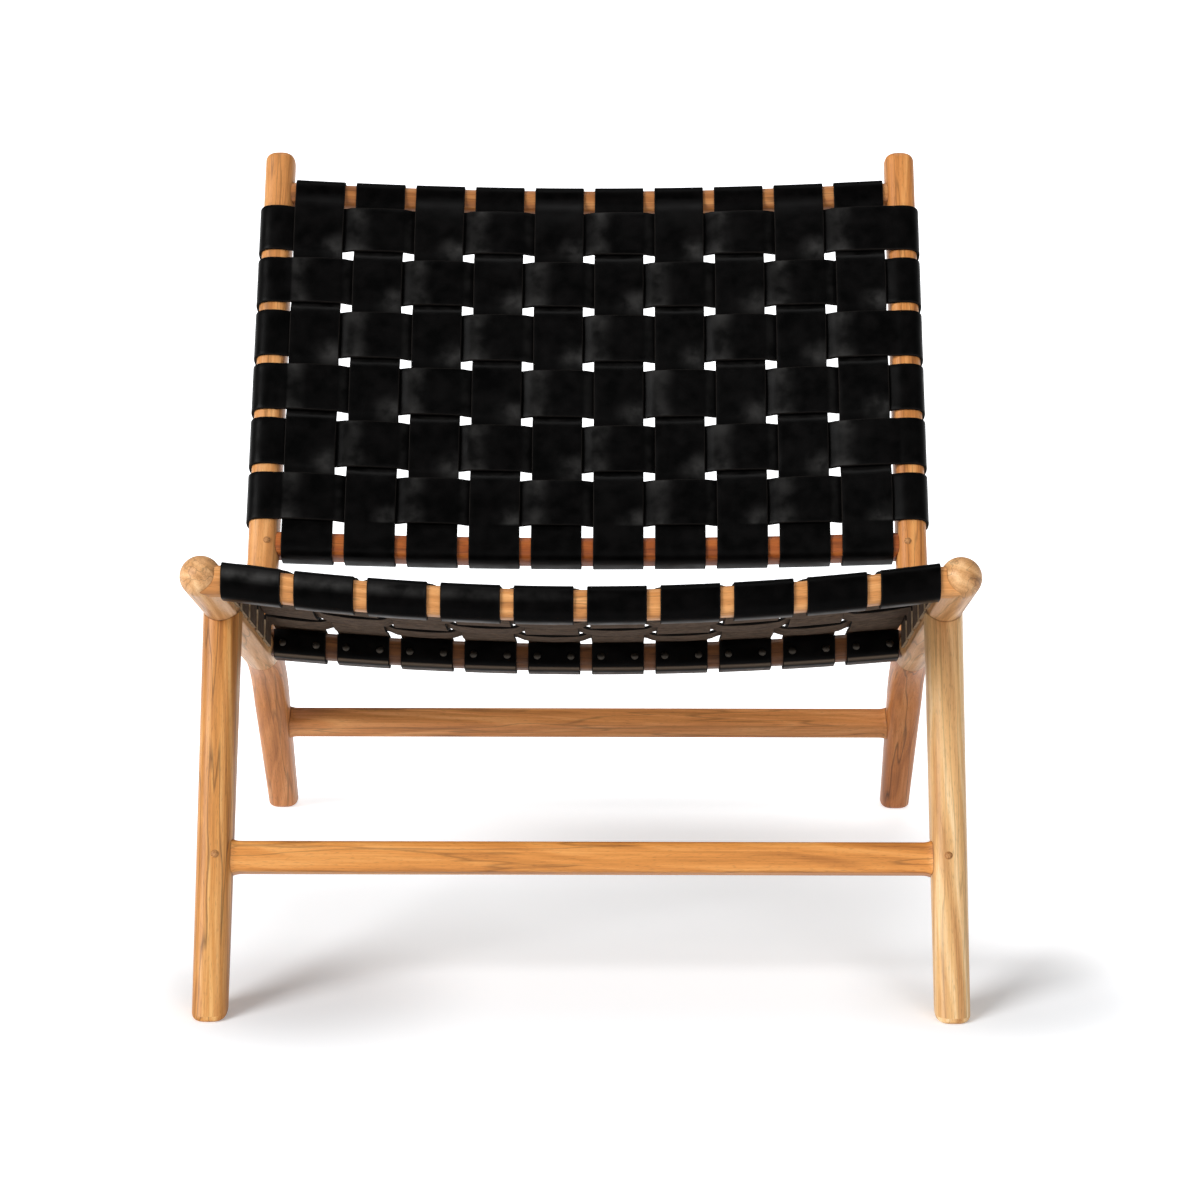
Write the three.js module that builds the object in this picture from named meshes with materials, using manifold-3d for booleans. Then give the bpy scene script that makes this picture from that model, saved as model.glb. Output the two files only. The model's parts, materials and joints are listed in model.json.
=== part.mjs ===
// Lounge chair with a fixed teak frame, and leather straps woven through each other for its seat and
// back. Millimetres, +Z up. The chair faces -Y and stands on Z = 0, with the origin under the middle
// of its outline.
import * as THREE from 'three';
import { mergeVertices } from 'three/addons/utils/BufferGeometryUtils.js';
import Module from 'manifold-3d';

const wasm = await Module();
wasm.setup();

// Side frames
const FRAME_SPACING = 650; // between the centre lines of the two side frames
const KNUCKLE_HEIGHT = 390; // centre of the round front end of a side rail
const KNUCKLE_SETBACK = 22.1; // the same centre, behind the middle of the front foot
const SEAT_SLOPE = 22.2; // degrees that the side rails fall towards the back
const SIDE_RAIL_DIAMETER = 36;
const STRAP_FLAT_INSET = 3.5; // depth of the flat that takes the ends of the seat's cross straps
const STRAP_FLAT_MARGIN = 4; // length of the flat beyond the first and last of those straps
const BACK_RECLINE = 34.7; // degrees that the back posts lean back from upright
const POST_PLACE = 453; // along a side rail, from the knuckle's centre to the post's centre line
const POST_LENGTH = 553; // from the side rail's centre line to the top
const POST_WIDTH = 31;
const POST_DEPTH = 34;
const POST_TOP_ROUND = 8; // rounding of the post's top edge
const RAIL_END_MARGIN = 1.5; // side rail left behind the post, before the rear leg starts

// Legs: widths are across the chair, depths are square to the leg in the side view
const FRONT_LEG_RAKE = 27.4; // degrees that the front legs lean back from upright
const FRONT_LEG_TOP_WIDTH = 34;
const FRONT_LEG_TOP_DEPTH = 50;
const FRONT_FOOT_WIDTH = 31;
const FRONT_FOOT_DEPTH = 34;
const REAR_FOOT_SETBACK = 637.3; // middle of the rear foot, behind the middle of the front foot
const REAR_LEG_RAKE = 33.2; // degrees that its straight part leans forward from upright
const REAR_LEG_KNEE_WIDTH = 35;
const REAR_LEG_KNEE_DEPTH = 46;
const REAR_FOOT_WIDTH = 30;
const REAR_FOOT_DEPTH = 34;
const KNEE_RUN = 50; // from the corner of the rear leg's bend to where the curve ends
const FOOT_ROUND = 5; // rounding of the edge round a sole

// Cross members
const CROSS_RAIL_SIZE = 26; // section of the four rails that carry the straps
const FRONT_RAIL_PLACE = 0; // along a side rail, from the knuckle's centre
const FRONT_RAIL_RISE = -4; // above the side rail's centre line
const FRONT_RAIL_BOW = 20.5; // dip of its middle below its ends
const REAR_RAIL_PLACE = 428;
const REAR_RAIL_RISE = 3;
const REAR_RAIL_BOW = 14;
const LOWER_RAIL_PLACE = 110.5; // up a back post, from the side rail's centre line
const LOWER_RAIL_BOW = 15; // set of its middle behind its ends
const TOP_RAIL_PLACE = 506;
const TOP_RAIL_BOW = 18;
const FRONT_STRETCHER_HEIGHT = 28; // section along the leg
const REAR_STRETCHER_HEIGHT = 25;
const STRETCHER_DEPTH = 24; // section square to the leg
const FRONT_STRETCHER_LEVEL = 124.5; // centre above the floor
const REAR_STRETCHER_LEVEL = 109;

// Leather straps
const STRAP_WIDTH = 51;
const LEATHER = 2.8; // thickness
const LONG_STRAPS = 10; // front to back in the seat, upright in the back
const CROSS_STRAPS = 6; // from side to side, in the seat and in the back
const SEAT_EDGE_GAP = 0.6; // outermost long strap to the side rail
const BACK_EDGE_GAP = 3; // outermost upright strap to the post
const BACK_TOP_GAP = 6.5; // top rail to the first cross strap
const BACK_BOTTOM_GAP = 9.5; // last cross strap to the lower rail
const SEAT_SAG = 2.5; // extra dip of the weave midway between the seat rails
const SEAT_EDGE_LIFT = 5; // rise of the weave beside the side rails, midway
const BACK_SLUMP = 6; // how much further the weave is set back low down, and less high up
const CROSSING_MARGIN = 0.8; // a strap stays level this far past the strap that it crosses
const TURN_DOWN_DEPTH = 5; // ends of the seat's cross straps, below the side rail's centre line
const TURN_RADIUS = 2.2; // bend of those ends, at mid thickness

// Where straps end on their way round a rail or post: degrees from the panel's far side, 90 being its face
const RAIL_WRAP_START = 315;
const SEAT_WRAP_END = -202.5;
const BACK_WRAP_END = -135;
const POST_WRAP_START = 315;
const POST_WRAP_END = 67.5;
const FACE_ANGLE = 90;

// Joints
const FIT = 0.3; // clearance between pieces that touch
const TENON_THICKNESS = 12;
const TENON_HEIGHT = 14;
const TENON_LENGTH = 14;
const TENON_ROOT = 12; // length of a tenon block inside the piece that it belongs to
const UPRIGHT_TENON_WIDTH = 12; // tenons of the front legs and posts in the side rails
const LEG_TENON_LENGTH = 24; // along the side rail
const POST_TENON_LENGTH = 20;
const UPRIGHT_TENON_REACH = 2; // past the side rail's centre line
const END_TENON_WIDTH = 16; // tenons of the side rails in the rear legs
const END_TENON_HEIGHT = 14;
const END_TENON_LENGTH = 22;
const END_TENON_ROOT = 5; // inside the side rail, behind the post's mortise
const PEG_DIAMETER = 7;
const PEG_LENGTH = 26;
const PEG_PROUD = 0.4;
const STRETCHER_PEG_INSET = 2; // from the leg's centre line towards the middle of the chair
const RAIL_PEG_INSET = 4.5; // from the post's centre line towards the middle of the chair

// Sections: 2 is an ellipse, more is squarer
const ROUND = 2;
const POST_SQUARENESS = 2.8;
const RAIL_SQUARENESS = 3.5;
const LEG_SQUARENESS = 4;
const STRETCHER_SQUARENESS = 5;
const SECTION_SIDES = 16;
const BAR_SIDES = 24;
const KNUCKLE_STEPS = 5;
const KNEE_STEPS = 6;
const PEG_SIDES = 16;
const EDGE_PROFILE = [[0, 1], [0.3, 0.3], [1, 0]]; // a rounded edge: shares of its radius, up and in

// Colours
const TEAK_HONEY = 0xc79660;
const TEAK_ORANGE = 0xb97a41;
const TEAK_TAN = 0xb98a63;
const PEG_BROWN = 0x9c6a3c;
const LEATHER_BLACK = 0x121110;
const WOOD_ROUGHNESS = 0.55;
const LEATHER_ROUGHNESS = 0.42;

const SIDES = { left: -1, right: 1 };
const HALF = FRAME_SPACING / 2;
const RAIL_RADIUS = SIDE_RAIL_DIAMETER / 2;
const BOW_REACH = HALF - RAIL_RADIUS;
const STRAP_OFFSET = FIT + LEATHER / 2; // wood to the middle of a strap's thickness
const CROSSING_OFFSET = (FIT + LEATHER) / 2; // middle of the weave to the middle of a strap

// Directions in the side view, as (towards the back, up)
const { degToRad, lerp } = THREE.MathUtils;
const flat = (y, z) => new THREE.Vector2(y, z);
const slope = degToRad(SEAT_SLOPE);
const recline = degToRad(BACK_RECLINE);
const frontRake = degToRad(FRONT_LEG_RAKE);
const rearRake = degToRad(REAR_LEG_RAKE);
const alongRail = flat(Math.cos(slope), -Math.sin(slope));
const aboveRail = flat(Math.sin(slope), Math.cos(slope));
const upPost = flat(Math.sin(recline), Math.cos(recline));
const aheadOfPost = flat(-Math.cos(recline), Math.sin(recline));
const behindPost = aheadOfPost.clone().negate();
const upFrontLeg = flat(Math.sin(frontRake), Math.cos(frontRake));
const aheadOfFrontLeg = flat(-Math.cos(frontRake), Math.sin(frontRake));
const downRearLeg = flat(Math.sin(rearRake), -Math.cos(rearRake));
const behindRearLeg = flat(Math.cos(rearRake), Math.sin(rearRake));
const level = flat(1, 0);

const from = (start, direction, distance) => start.clone().addScaledVector(direction, distance);
const atWidth = (x, place) => new THREE.Vector3(x, place.x, place.y);

// Places in the seat: along the side rail and above its centre line
const knuckle = flat(KNUCKLE_SETBACK, KNUCKLE_HEIGHT);
const seatPlace = (along, above) => from(from(knuckle, alongRail, along), aboveRail, above);

// Places in the back: up the post and ahead of its centre line
const postFoot = seatPlace(POST_PLACE, 0);
const backPlace = (up, ahead) => from(from(postFoot, upPost, up), aheadOfPost, ahead);

// Places on the legs' centre lines
const frontLegPlace = knuckle.cross(upFrontLeg) / upFrontLeg.cross(alongRail);
const frontLegTop = seatPlace(frontLegPlace, 0);
const frontLegAt = (height) => flat(height * Math.tan(frontRake), height);
const rearFoot = flat(REAR_FOOT_SETBACK, 0);
const rearLegAt = (height) => from(rearFoot, downRearLeg, -height / Math.cos(rearRake));
const postLean = recline - slope;
const railEnd = POST_PLACE + POST_DEPTH / 2 / Math.cos(postLean) + RAIL_RADIUS * Math.tan(postLean)
  + RAIL_END_MARGIN;
const kneePlace = rearFoot.clone().sub(knuckle).cross(downRearLeg) / alongRail.cross(downRearLeg);
const kneeCorner = seatPlace(kneePlace, 0);

// Solids

function signedVolume(points, index) {
  const area = new THREE.Vector3();
  let sum = 0;
  for (let k = 0; k < index.length; k += 3) {
    area.crossVectors(points[index[k + 1]], points[index[k + 2]]);
    sum += points[index[k]].dot(area);
  }
  return sum;
}

// A closed skin through rings that have the same number of points; one of its sides can have its
// triangles laid the other way
function loft(rings, turnedSide = -1) {
  const count = rings[0].length;
  const index = [];
  for (let start = 0; start < (rings.length - 1) * count; start += count) {
    for (let k = 0; k < count; k += 1) {
      const a = start + k;
      const b = start + ((k + 1) % count);
      if (k === turnedSide) index.push(a, b, a + count, b, b + count, a + count);
      else index.push(a, b, b + count, a, b + count, a + count);
    }
  }
  const last = (rings.length - 1) * count;
  for (let k = 1; k + 1 < count; k += 1) {
    index.push(0, k + 1, k);
    index.push(last, last + k, last + k + 1);
  }
  const points = rings.flat();
  if (signedVolume(points, index) < 0) index.reverse();
  const skin = new THREE.BufferGeometry().setFromPoints(points);
  skin.setIndex(index);
  return skin;
}

function toSolid(skin) {
  const bare = skin.clone();
  bare.deleteAttribute('normal');
  bare.deleteAttribute('uv');
  const merged = mergeVertices(bare, 1e-3);
  const corners = Array.from(merged.index.array);
  const triangles = [];
  for (let k = 0; k < corners.length; k += 3) {
    const [a, b, c] = corners.slice(k, k + 3);
    if (a !== b && b !== c && c !== a) triangles.push(a, b, c);
  }
  return new wasm.Manifold(new wasm.Mesh({
    numProp: 3,
    vertProperties: Float32Array.from(merged.attributes.position.array),
    triVerts: Uint32Array.from(triangles),
  }));
}

function toSkin(solid) {
  const { vertProperties, triVerts } = solid.getMesh();
  const skin = new THREE.BufferGeometry();
  skin.setAttribute('position', new THREE.BufferAttribute(Float32Array.from(vertProperties), 3));
  skin.setIndex(Array.from(triVerts));
  return skin;
}

const cut = (solid, tools) => tools.reduce((rest, tool) => rest.subtract(tool), solid);
const join = (solid, others) => others.reduce((whole, other) => whole.add(other), solid);

// A point on a rounded section, at an angle from the first side towards the second
function sectionPoint(angle, first, second, squareness) {
  const bulge = (part, size) => Math.sign(part) * Math.abs(part) ** (2 / squareness) * (size / 2);
  return flat(bulge(Math.cos(angle), first), bulge(Math.sin(angle), second));
}

function section(first, second, squareness) {
  return Array.from({ length: SECTION_SIDES }, (_, side) => (
    sectionPoint((side / SECTION_SIDES) * 2 * Math.PI, first, second, squareness)
  ));
}

// A ring round a side frame member, with its depth along a direction of the side view
function frameRing(x, centre, direction, width, depth, squareness) {
  return section(width, depth, squareness).map((point) => (
    atWidth(x + point.x, from(centre, direction, point.y))
  ));
}

// A ring round a cross member
function crossRing(x, centre, axes, first, second, squareness) {
  return section(first, second, squareness).map((point) => (
    atWidth(x, from(from(centre, axes[0], point.x), axes[1], point.y))
  ));
}

const span = (centre, size, grow = 0) => [centre - size / 2 - grow, centre + size / 2 + grow];

// A square-edged block, from its span across the chair and its spans along two side view directions
function block(across, centre, axes, first, second) {
  const corners = [[0, 0], [1, 0], [1, 1], [0, 1]];
  return toSolid(loft(across.map((x) => corners.map(([a, b]) => (
    atWidth(x, from(from(centre, axes[0], first[a]), axes[1], second[b]))
  )))));
}

// Tenons; grown by the fit and lengthened they are the mortises

// Front leg or post in a side rail, between two heights above the rail's centre line
function uprightTenon(side, place, length, heights, grow = 0) {
  const across = span(side * HALF, UPRIGHT_TENON_WIDTH, grow);
  return block(across, knuckle, [alongRail, aboveRail], span(place, length, grow), heights);
}

function frontLegTenon(side, grow = 0) {
  const heights = [-RAIL_RADIUS - TENON_ROOT, UPRIGHT_TENON_REACH + grow];
  return uprightTenon(side, frontLegPlace, LEG_TENON_LENGTH, heights, grow);
}

function postTenon(side, grow = 0) {
  const heights = [-UPRIGHT_TENON_REACH - grow, RAIL_RADIUS + TENON_ROOT];
  return uprightTenon(side, POST_PLACE, POST_TENON_LENGTH, heights, grow);
}

function railEndTenon(side, grow = 0) {
  const across = span(side * HALF, END_TENON_WIDTH, grow);
  const reach = [railEnd - END_TENON_ROOT, railEnd + END_TENON_LENGTH + grow];
  return block(across, knuckle, [alongRail, aboveRail], reach, span(0, END_TENON_HEIGHT, grow));
}

// End of a cross member in a side frame member of the given half width
function crossTenon(side, halfWidth, centre, axes, grow = 0) {
  const shoulder = HALF - halfWidth;
  const across = [side * (shoulder - TENON_ROOT), side * (shoulder + TENON_LENGTH + grow)];
  return block(across, centre, axes, span(0, TENON_THICKNESS, grow), span(0, TENON_HEIGHT, grow));
}

// Cross members: their place at the ends, their directions and their bow

const seatAxes = [alongRail, aboveRail];
const backAxes = [upPost, aheadOfPost];
const bowShare = (x) => 1 - Math.min(Math.abs(x) / BOW_REACH, 1) ** 2;

// Middles of the long straps, from the outermost strap's distance to the chair's middle
const columns = (reach) => Array.from({ length: LONG_STRAPS }, (_, column) => (
  lerp(-reach, reach, column / (LONG_STRAPS - 1))
));
const seatColumns = columns(BOW_REACH - SEAT_EDGE_GAP - STRAP_WIDTH / 2);
const backColumns = columns(HALF - POST_WIDTH / 2 - BACK_EDGE_GAP - STRAP_WIDTH / 2);

const seatRail = (place, rise, bow) => ({
  place, rise, bow, axes: seatAxes, columns: seatColumns, end: seatPlace(place, rise),
});
const backRail = (place, bow) => ({
  place, rise: 0, bow, axes: backAxes, columns: backColumns, end: backPlace(place, 0),
});
const frontRail = seatRail(FRONT_RAIL_PLACE, FRONT_RAIL_RISE, FRONT_RAIL_BOW);
const rearRail = seatRail(REAR_RAIL_PLACE, REAR_RAIL_RISE, REAR_RAIL_BOW);
const lowerRail = backRail(LOWER_RAIL_PLACE, LOWER_RAIL_BOW);
const topRail = backRail(TOP_RAIL_PLACE, TOP_RAIL_BOW);

const frontStretcher = {
  end: frontLegAt(FRONT_STRETCHER_LEVEL), axes: [upFrontLeg, aheadOfFrontLeg], height: FRONT_STRETCHER_HEIGHT,
};
const rearStretcher = {
  end: rearLegAt(REAR_STRETCHER_LEVEL), axes: [downRearLeg, behindRearLeg], height: REAR_STRETCHER_HEIGHT,
};

// Half widths of the legs where the stretchers meet them
const frontLegHeight = frontLegTop.y;
const kneeEnd = from(kneeCorner, downRearLeg, KNEE_RUN);
const frontLegShare = FRONT_STRETCHER_LEVEL / frontLegHeight;
const rearLegShare = REAR_STRETCHER_LEVEL / kneeEnd.y;
const frontLegHalfWidth = lerp(FRONT_FOOT_WIDTH, FRONT_LEG_TOP_WIDTH, frontLegShare) / 2;
const frontLegHalfDepth = lerp(FRONT_FOOT_DEPTH, FRONT_LEG_TOP_DEPTH, frontLegShare) / 2;
const rearLegHalfWidth = lerp(REAR_FOOT_WIDTH, REAR_LEG_KNEE_WIDTH, rearLegShare) / 2;

const railTenon = (rail, side, grow) => crossTenon(side, RAIL_RADIUS, rail.end, rail.axes, grow);
const backTenon = (rail, side, grow) => crossTenon(side, POST_WIDTH / 2, rail.end, rail.axes, grow);
const frontStretcherTenon = (side, grow) => (
  crossTenon(side, frontLegHalfWidth, frontStretcher.end, frontStretcher.axes, grow)
);
const rearStretcherTenon = (side, grow) => (
  crossTenon(side, rearLegHalfWidth, rearStretcher.end, rearStretcher.axes, grow)
);

// Pegs, driven from the front: a round pin from its face to its inner end
function pin(x, centre, ahead, faceAhead, length, diameter) {
  const pinSkin = new THREE.CylinderGeometry(diameter / 2, diameter / 2, length, PEG_SIDES);
  const axis = new THREE.Vector3(0, ahead.x, ahead.y);
  const middle = atWidth(x, from(centre, ahead, faceAhead - length / 2));
  pinSkin.applyQuaternion(new THREE.Quaternion().setFromUnitVectors(new THREE.Vector3(0, 1, 0), axis));
  return toSolid(pinSkin.translate(middle.x, middle.y, middle.z));
}

function stretcherPeg(side, grow = 0) {
  const x = side * (HALF - STRETCHER_PEG_INSET);
  const face = frontLegHalfDepth + PEG_PROUD;
  const size = PEG_DIAMETER + 2 * grow;
  return pin(x, frontStretcher.end, aheadOfFrontLeg, face, PEG_LENGTH + grow, size);
}

function railPeg(side, grow = 0) {
  const x = side * (HALF - RAIL_PEG_INSET);
  const face = POST_DEPTH / 2 + PEG_PROUD;
  return pin(x, lowerRail.end, aheadOfPost, face, PEG_LENGTH + grow, PEG_DIAMETER + 2 * grow);
}

// Bare bodies of the side frame members; grown by the fit they shape the ends that meet them

function sideRailBar(side, grow = 0) {
  const radius = RAIL_RADIUS + grow;
  const profile = Array.from({ length: KNUCKLE_STEPS + 1 }, (_, step) => {
    const angle = (step / KNUCKLE_STEPS) * (Math.PI / 2);
    return flat(radius * Math.sin(angle), -radius * Math.cos(angle));
  });
  const bar = new THREE.LatheGeometry([...profile, flat(radius, railEnd), flat(0, railEnd)], BAR_SIDES);
  const turn = new THREE.Matrix4().makeBasis(
    new THREE.Vector3(1, 0, 0),
    atWidth(0, alongRail),
    atWidth(0, aboveRail),
  );
  return toSolid(bar.applyMatrix4(turn.setPosition(atWidth(side * HALF, knuckle))));
}

// A flat sole with a rounded edge, from the floor up
function soleRings(x, centreAt, width, depth, grow) {
  return EDGE_PROFILE.map(([lift, inset]) => {
    const shrink = 2 * (inset * FOOT_ROUND - grow);
    const centre = centreAt(lift * FOOT_ROUND);
    return frameRing(x, centre, level, width - shrink, depth - shrink, LEG_SQUARENESS);
  });
}

function frontLegBar(side, grow = 0) {
  const x = side * HALF;
  const width = FRONT_LEG_TOP_WIDTH + 2 * grow;
  const depth = FRONT_LEG_TOP_DEPTH / Math.cos(frontRake - slope) + 2 * grow;
  const footDepth = FRONT_FOOT_DEPTH / Math.cos(frontRake);
  return toSolid(loft([
    ...soleRings(x, frontLegAt, FRONT_FOOT_WIDTH, footDepth, grow),
    frameRing(x, frontLegTop, alongRail, width, depth, LEG_SQUARENESS),
  ]));
}

// The rear leg carries on from the side rail, bends at the knee and runs straight to the floor
function rearLegBar(side, grow = 0) {
  const x = side * HALF;
  const bend = new THREE.QuadraticBezierCurve(seatPlace(railEnd + FIT, 0), kneeCorner, kneeEnd);
  const knee = Array.from({ length: KNEE_STEPS + 1 }, (_, step) => {
    const share = step / KNEE_STEPS;
    const run = bend.getTangent(share);
    const width = lerp(SIDE_RAIL_DIAMETER, REAR_LEG_KNEE_WIDTH, share) + 2 * grow;
    const depth = lerp(SIDE_RAIL_DIAMETER, REAR_LEG_KNEE_DEPTH, share) + 2 * grow;
    const squareness = lerp(ROUND, LEG_SQUARENESS, share);
    return frameRing(x, bend.getPoint(share), flat(-run.y, run.x), width, depth, squareness);
  });
  const footDepth = REAR_FOOT_DEPTH / Math.cos(rearRake);
  const sole = soleRings(x, rearLegAt, REAR_FOOT_WIDTH, footDepth, grow);
  return toSolid(loft([...knee, ...sole.reverse()]));
}

function postBar(side, grow = 0) {
  const x = side * HALF;
  const width = POST_WIDTH + 2 * grow;
  const depth = POST_DEPTH / Math.cos(postLean) + 2 * grow;
  const top = EDGE_PROFILE.map(([drop, inset]) => {
    const shrink = 2 * (inset * POST_TOP_ROUND - grow);
    const centre = backPlace(POST_LENGTH - drop * POST_TOP_ROUND, 0);
    return frameRing(x, centre, behindPost, POST_WIDTH - shrink, POST_DEPTH - shrink, POST_SQUARENESS);
  });
  const foot = frameRing(x, postFoot, alongRail, width, depth, POST_SQUARENESS);
  return toSolid(loft([foot, ...top.reverse()]));
}

// Finished frame members

const seatCrossGap = (REAR_RAIL_PLACE - FRONT_RAIL_PLACE - CROSS_RAIL_SIZE - 2 * (FIT + LEATHER)
  - CROSS_STRAPS * STRAP_WIDTH) / (CROSS_STRAPS + 1);
const firstSeatCross = FRONT_RAIL_PLACE + CROSS_RAIL_SIZE / 2 + FIT + LEATHER + seatCrossGap
  + STRAP_WIDTH / 2;
const seatCrosses = Array.from({ length: CROSS_STRAPS }, (_, row) => (
  firstSeatCross + row * (STRAP_WIDTH + seatCrossGap)
));

// The flat planed on the inner side of a side rail
function strapFlat(side) {
  const reach = STRAP_WIDTH / 2 + STRAP_FLAT_MARGIN;
  const across = [side * (BOW_REACH + STRAP_FLAT_INSET), side * (BOW_REACH - STRAP_FLAT_INSET)];
  const run = [seatCrosses[0] - reach, seatCrosses[CROSS_STRAPS - 1] + reach];
  return block(across, knuckle, seatAxes, run, span(0, SIDE_RAIL_DIAMETER));
}

function sideRail(side) {
  const bar = cut(sideRailBar(side), [
    strapFlat(side),
    frontLegTenon(side, FIT),
    postTenon(side, FIT),
    railTenon(frontRail, side, FIT),
    railTenon(rearRail, side, FIT),
  ]);
  return join(bar, [railEndTenon(side)]);
}

function frontLeg(side) {
  const leg = cut(frontLegBar(side), [sideRailBar(side, FIT), frontStretcherTenon(side, FIT)]);
  return cut(join(leg, [frontLegTenon(side)]), [stretcherPeg(side, FIT)]);
}

const rearLeg = (side) => cut(rearLegBar(side), [railEndTenon(side, FIT), rearStretcherTenon(side, FIT)]);

function post(side) {
  const bar = cut(postBar(side), [
    sideRailBar(side, FIT), backTenon(lowerRail, side, FIT), backTenon(topRail, side, FIT),
  ]);
  return cut(join(bar, [postTenon(side)]), [railPeg(side, FIT)]);
}

// A bowed rail between two side frame members, coped to them
function bowedRail(rail, member, tenon, holes = []) {
  const edges = rail.columns.flatMap((x) => span(x, STRAP_WIDTH));
  const rings = [-HALF, -BOW_REACH, ...edges, BOW_REACH, HALF].map((x) => {
    const centre = from(rail.end, rail.axes[1], -rail.bow * bowShare(x));
    return crossRing(x, centre, rail.axes, CROSS_RAIL_SIZE, CROSS_RAIL_SIZE, RAIL_SQUARENESS);
  });
  const ends = Object.values(SIDES);
  const bar = cut(toSolid(loft(rings)), ends.map((side) => member(side, FIT)));
  const pieces = bar.decompose();
  const middle = pieces.reduce((best, piece) => (piece.volume() > best.volume() ? piece : best));
  return cut(join(middle, ends.map((side) => tenon(rail, side))), holes);
}

function stretcher(line, member, tenon, holes = []) {
  const rings = Object.values(SIDES).map((side) => (
    crossRing(side * HALF, line.end, line.axes, line.height, STRETCHER_DEPTH, STRETCHER_SQUARENESS)
  ));
  const ends = Object.values(SIDES);
  const pieces = cut(toSolid(loft(rings)), ends.map((side) => member(side, FIT))).decompose();
  const middle = pieces.reduce((best, piece) => (piece.volume() > best.volume() ? piece : best));
  return cut(join(middle, ends.map((side) => tenon(side))), holes);
}

// Straps

// A path moved sideways, to its left, with square corners
function offsetPath(path, distance) {
  const left = (a, b) => flat(a.y - b.y, b.x - a.x).normalize();
  return path.map((point, k) => {
    const before = left(path[Math.max(k - 1, 0)], path[Math.max(k, 1)]);
    const after = left(path[Math.min(k, path.length - 2)], path[Math.min(k + 1, path.length - 1)]);
    return from(point, before.clone().add(after), distance / (1 + before.dot(after)));
  });
}

// A strap from the paths of its two edges, at mid thickness
function strapSkin(paths, place) {
  const outer = paths.map((path) => offsetPath(path, LEATHER / 2));
  const inner = paths.map((path) => offsetPath(path, -LEATHER / 2));
  const rings = paths[0].map((_, k) => [
    place(0, outer[0][k]), place(1, outer[1][k]), place(1, inner[1][k]), place(0, inner[0][k]),
  ]);
  const innerSide = 2;
  return loft(rings, innerSide);
}

// Part of the way round a section, between two angles in degrees, the first the larger
function wrap(centre, first, second, squareness, start, end) {
  const steps = Math.round(((start - end) / 360) * SECTION_SIDES);
  return Array.from({ length: steps + 1 }, (_, k) => {
    const angle = degToRad(lerp(start, end, k / steps));
    const point = sectionPoint(angle, first + 2 * STRAP_OFFSET, second + 2 * STRAP_OFFSET, squareness);
    return point.add(centre);
  });
}

const railWrap = (rail, x, start, end) => {
  const centre = flat(rail.place, rail.rise - rail.bow * bowShare(x));
  return wrap(centre, CROSS_RAIL_SIZE, CROSS_RAIL_SIZE, RAIL_SQUARENESS, start, end);
};

const contact = (rail) => rail.rise + CROSS_RAIL_SIZE / 2 + STRAP_OFFSET + CROSSING_OFFSET;
const share = (panel, place) => (place - panel.low.place) / (panel.high.place - panel.low.place);

const seat = {
  low: frontRail,
  high: rearRail,
  point: (x, along, above) => atWidth(x, seatPlace(along, above)),
  columns: seatColumns,
  rows: seatCrosses,
  wrapEnd: SEAT_WRAP_END,
  columnOver: (column, row) => (column + row) % 2 === 1,
  level(x, along) {
    const q = share(seat, along);
    const belly = Math.sin(Math.PI * q);
    const dip = lerp(FRONT_RAIL_BOW, REAR_RAIL_BOW, q) + SEAT_SAG * belly;
    const rise = lerp(contact(frontRail), contact(rearRail), q) + SEAT_EDGE_LIFT * belly * (1 - bowShare(x));
    return rise - dip * bowShare(x);
  },
};

const firstBackCross = TOP_RAIL_PLACE - CROSS_RAIL_SIZE / 2 - BACK_TOP_GAP - STRAP_WIDTH / 2;
const lastBackCross = LOWER_RAIL_PLACE + CROSS_RAIL_SIZE / 2 + BACK_BOTTOM_GAP + STRAP_WIDTH / 2;

const back = {
  low: lowerRail,
  high: topRail,
  point: (x, up, ahead) => atWidth(x, backPlace(up, ahead)),
  columns: backColumns,
  rows: Array.from({ length: CROSS_STRAPS }, (_, row) => (
    lerp(firstBackCross, lastBackCross, row / (CROSS_STRAPS - 1))
  )),
  wrapEnd: BACK_WRAP_END,
  columnOver: (column, row) => (column + row) % 2 === 0,
  level(x, up) {
    const q = share(back, up);
    const dip = lerp(LOWER_RAIL_BOW, TOP_RAIL_BOW, q) - BACK_SLUMP * Math.sin(Math.PI * (2 * q - 1));
    return lerp(contact(lowerRail), contact(topRail), q) - dip * bowShare(x);
  },
};

// A strap that runs over both rails of a panel and through its cross straps
function longStrap(panel, column) {
  const xs = [-1, 1].map((edge) => panel.columns[column] + (edge * STRAP_WIDTH) / 2);
  const rows = panel.rows.map((place, row) => ({ place, row })).sort((a, b) => a.place - b.place);
  const reach = STRAP_WIDTH / 2 + CROSSING_MARGIN;
  const paths = xs.map((x) => [
    ...railWrap(panel.low, x, RAIL_WRAP_START, FACE_ANGLE),
    ...rows.flatMap(({ place, row }) => {
      const lift = panel.columnOver(column, row) ? CROSSING_OFFSET : -CROSSING_OFFSET;
      return [place - reach, place + reach].map((v) => flat(v, panel.level(x, v) + lift));
    }),
    ...railWrap(panel.high, x, FACE_ANGLE, panel.wrapEnd),
  ]);
  return strapSkin(paths, (edge, point) => panel.point(xs[edge], point.x, point.y));
}

// The woven part of a cross strap's edge, between the outermost long straps' outer edges
function crossPath(panel, row, along, limit) {
  const reach = STRAP_WIDTH / 2 + CROSSING_MARGIN;
  return panel.columns.flatMap((centre, column) => {
    const lift = panel.columnOver(column, row) ? -CROSSING_OFFSET : CROSSING_OFFSET;
    return [centre - reach, centre + reach].map((x) => {
      const held = THREE.MathUtils.clamp(x, -limit, limit);
      return flat(held, panel.level(held, along) + lift);
    });
  });
}

const mirrored = (path) => path.map((point) => flat(-point.x, point.y)).reverse();

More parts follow.
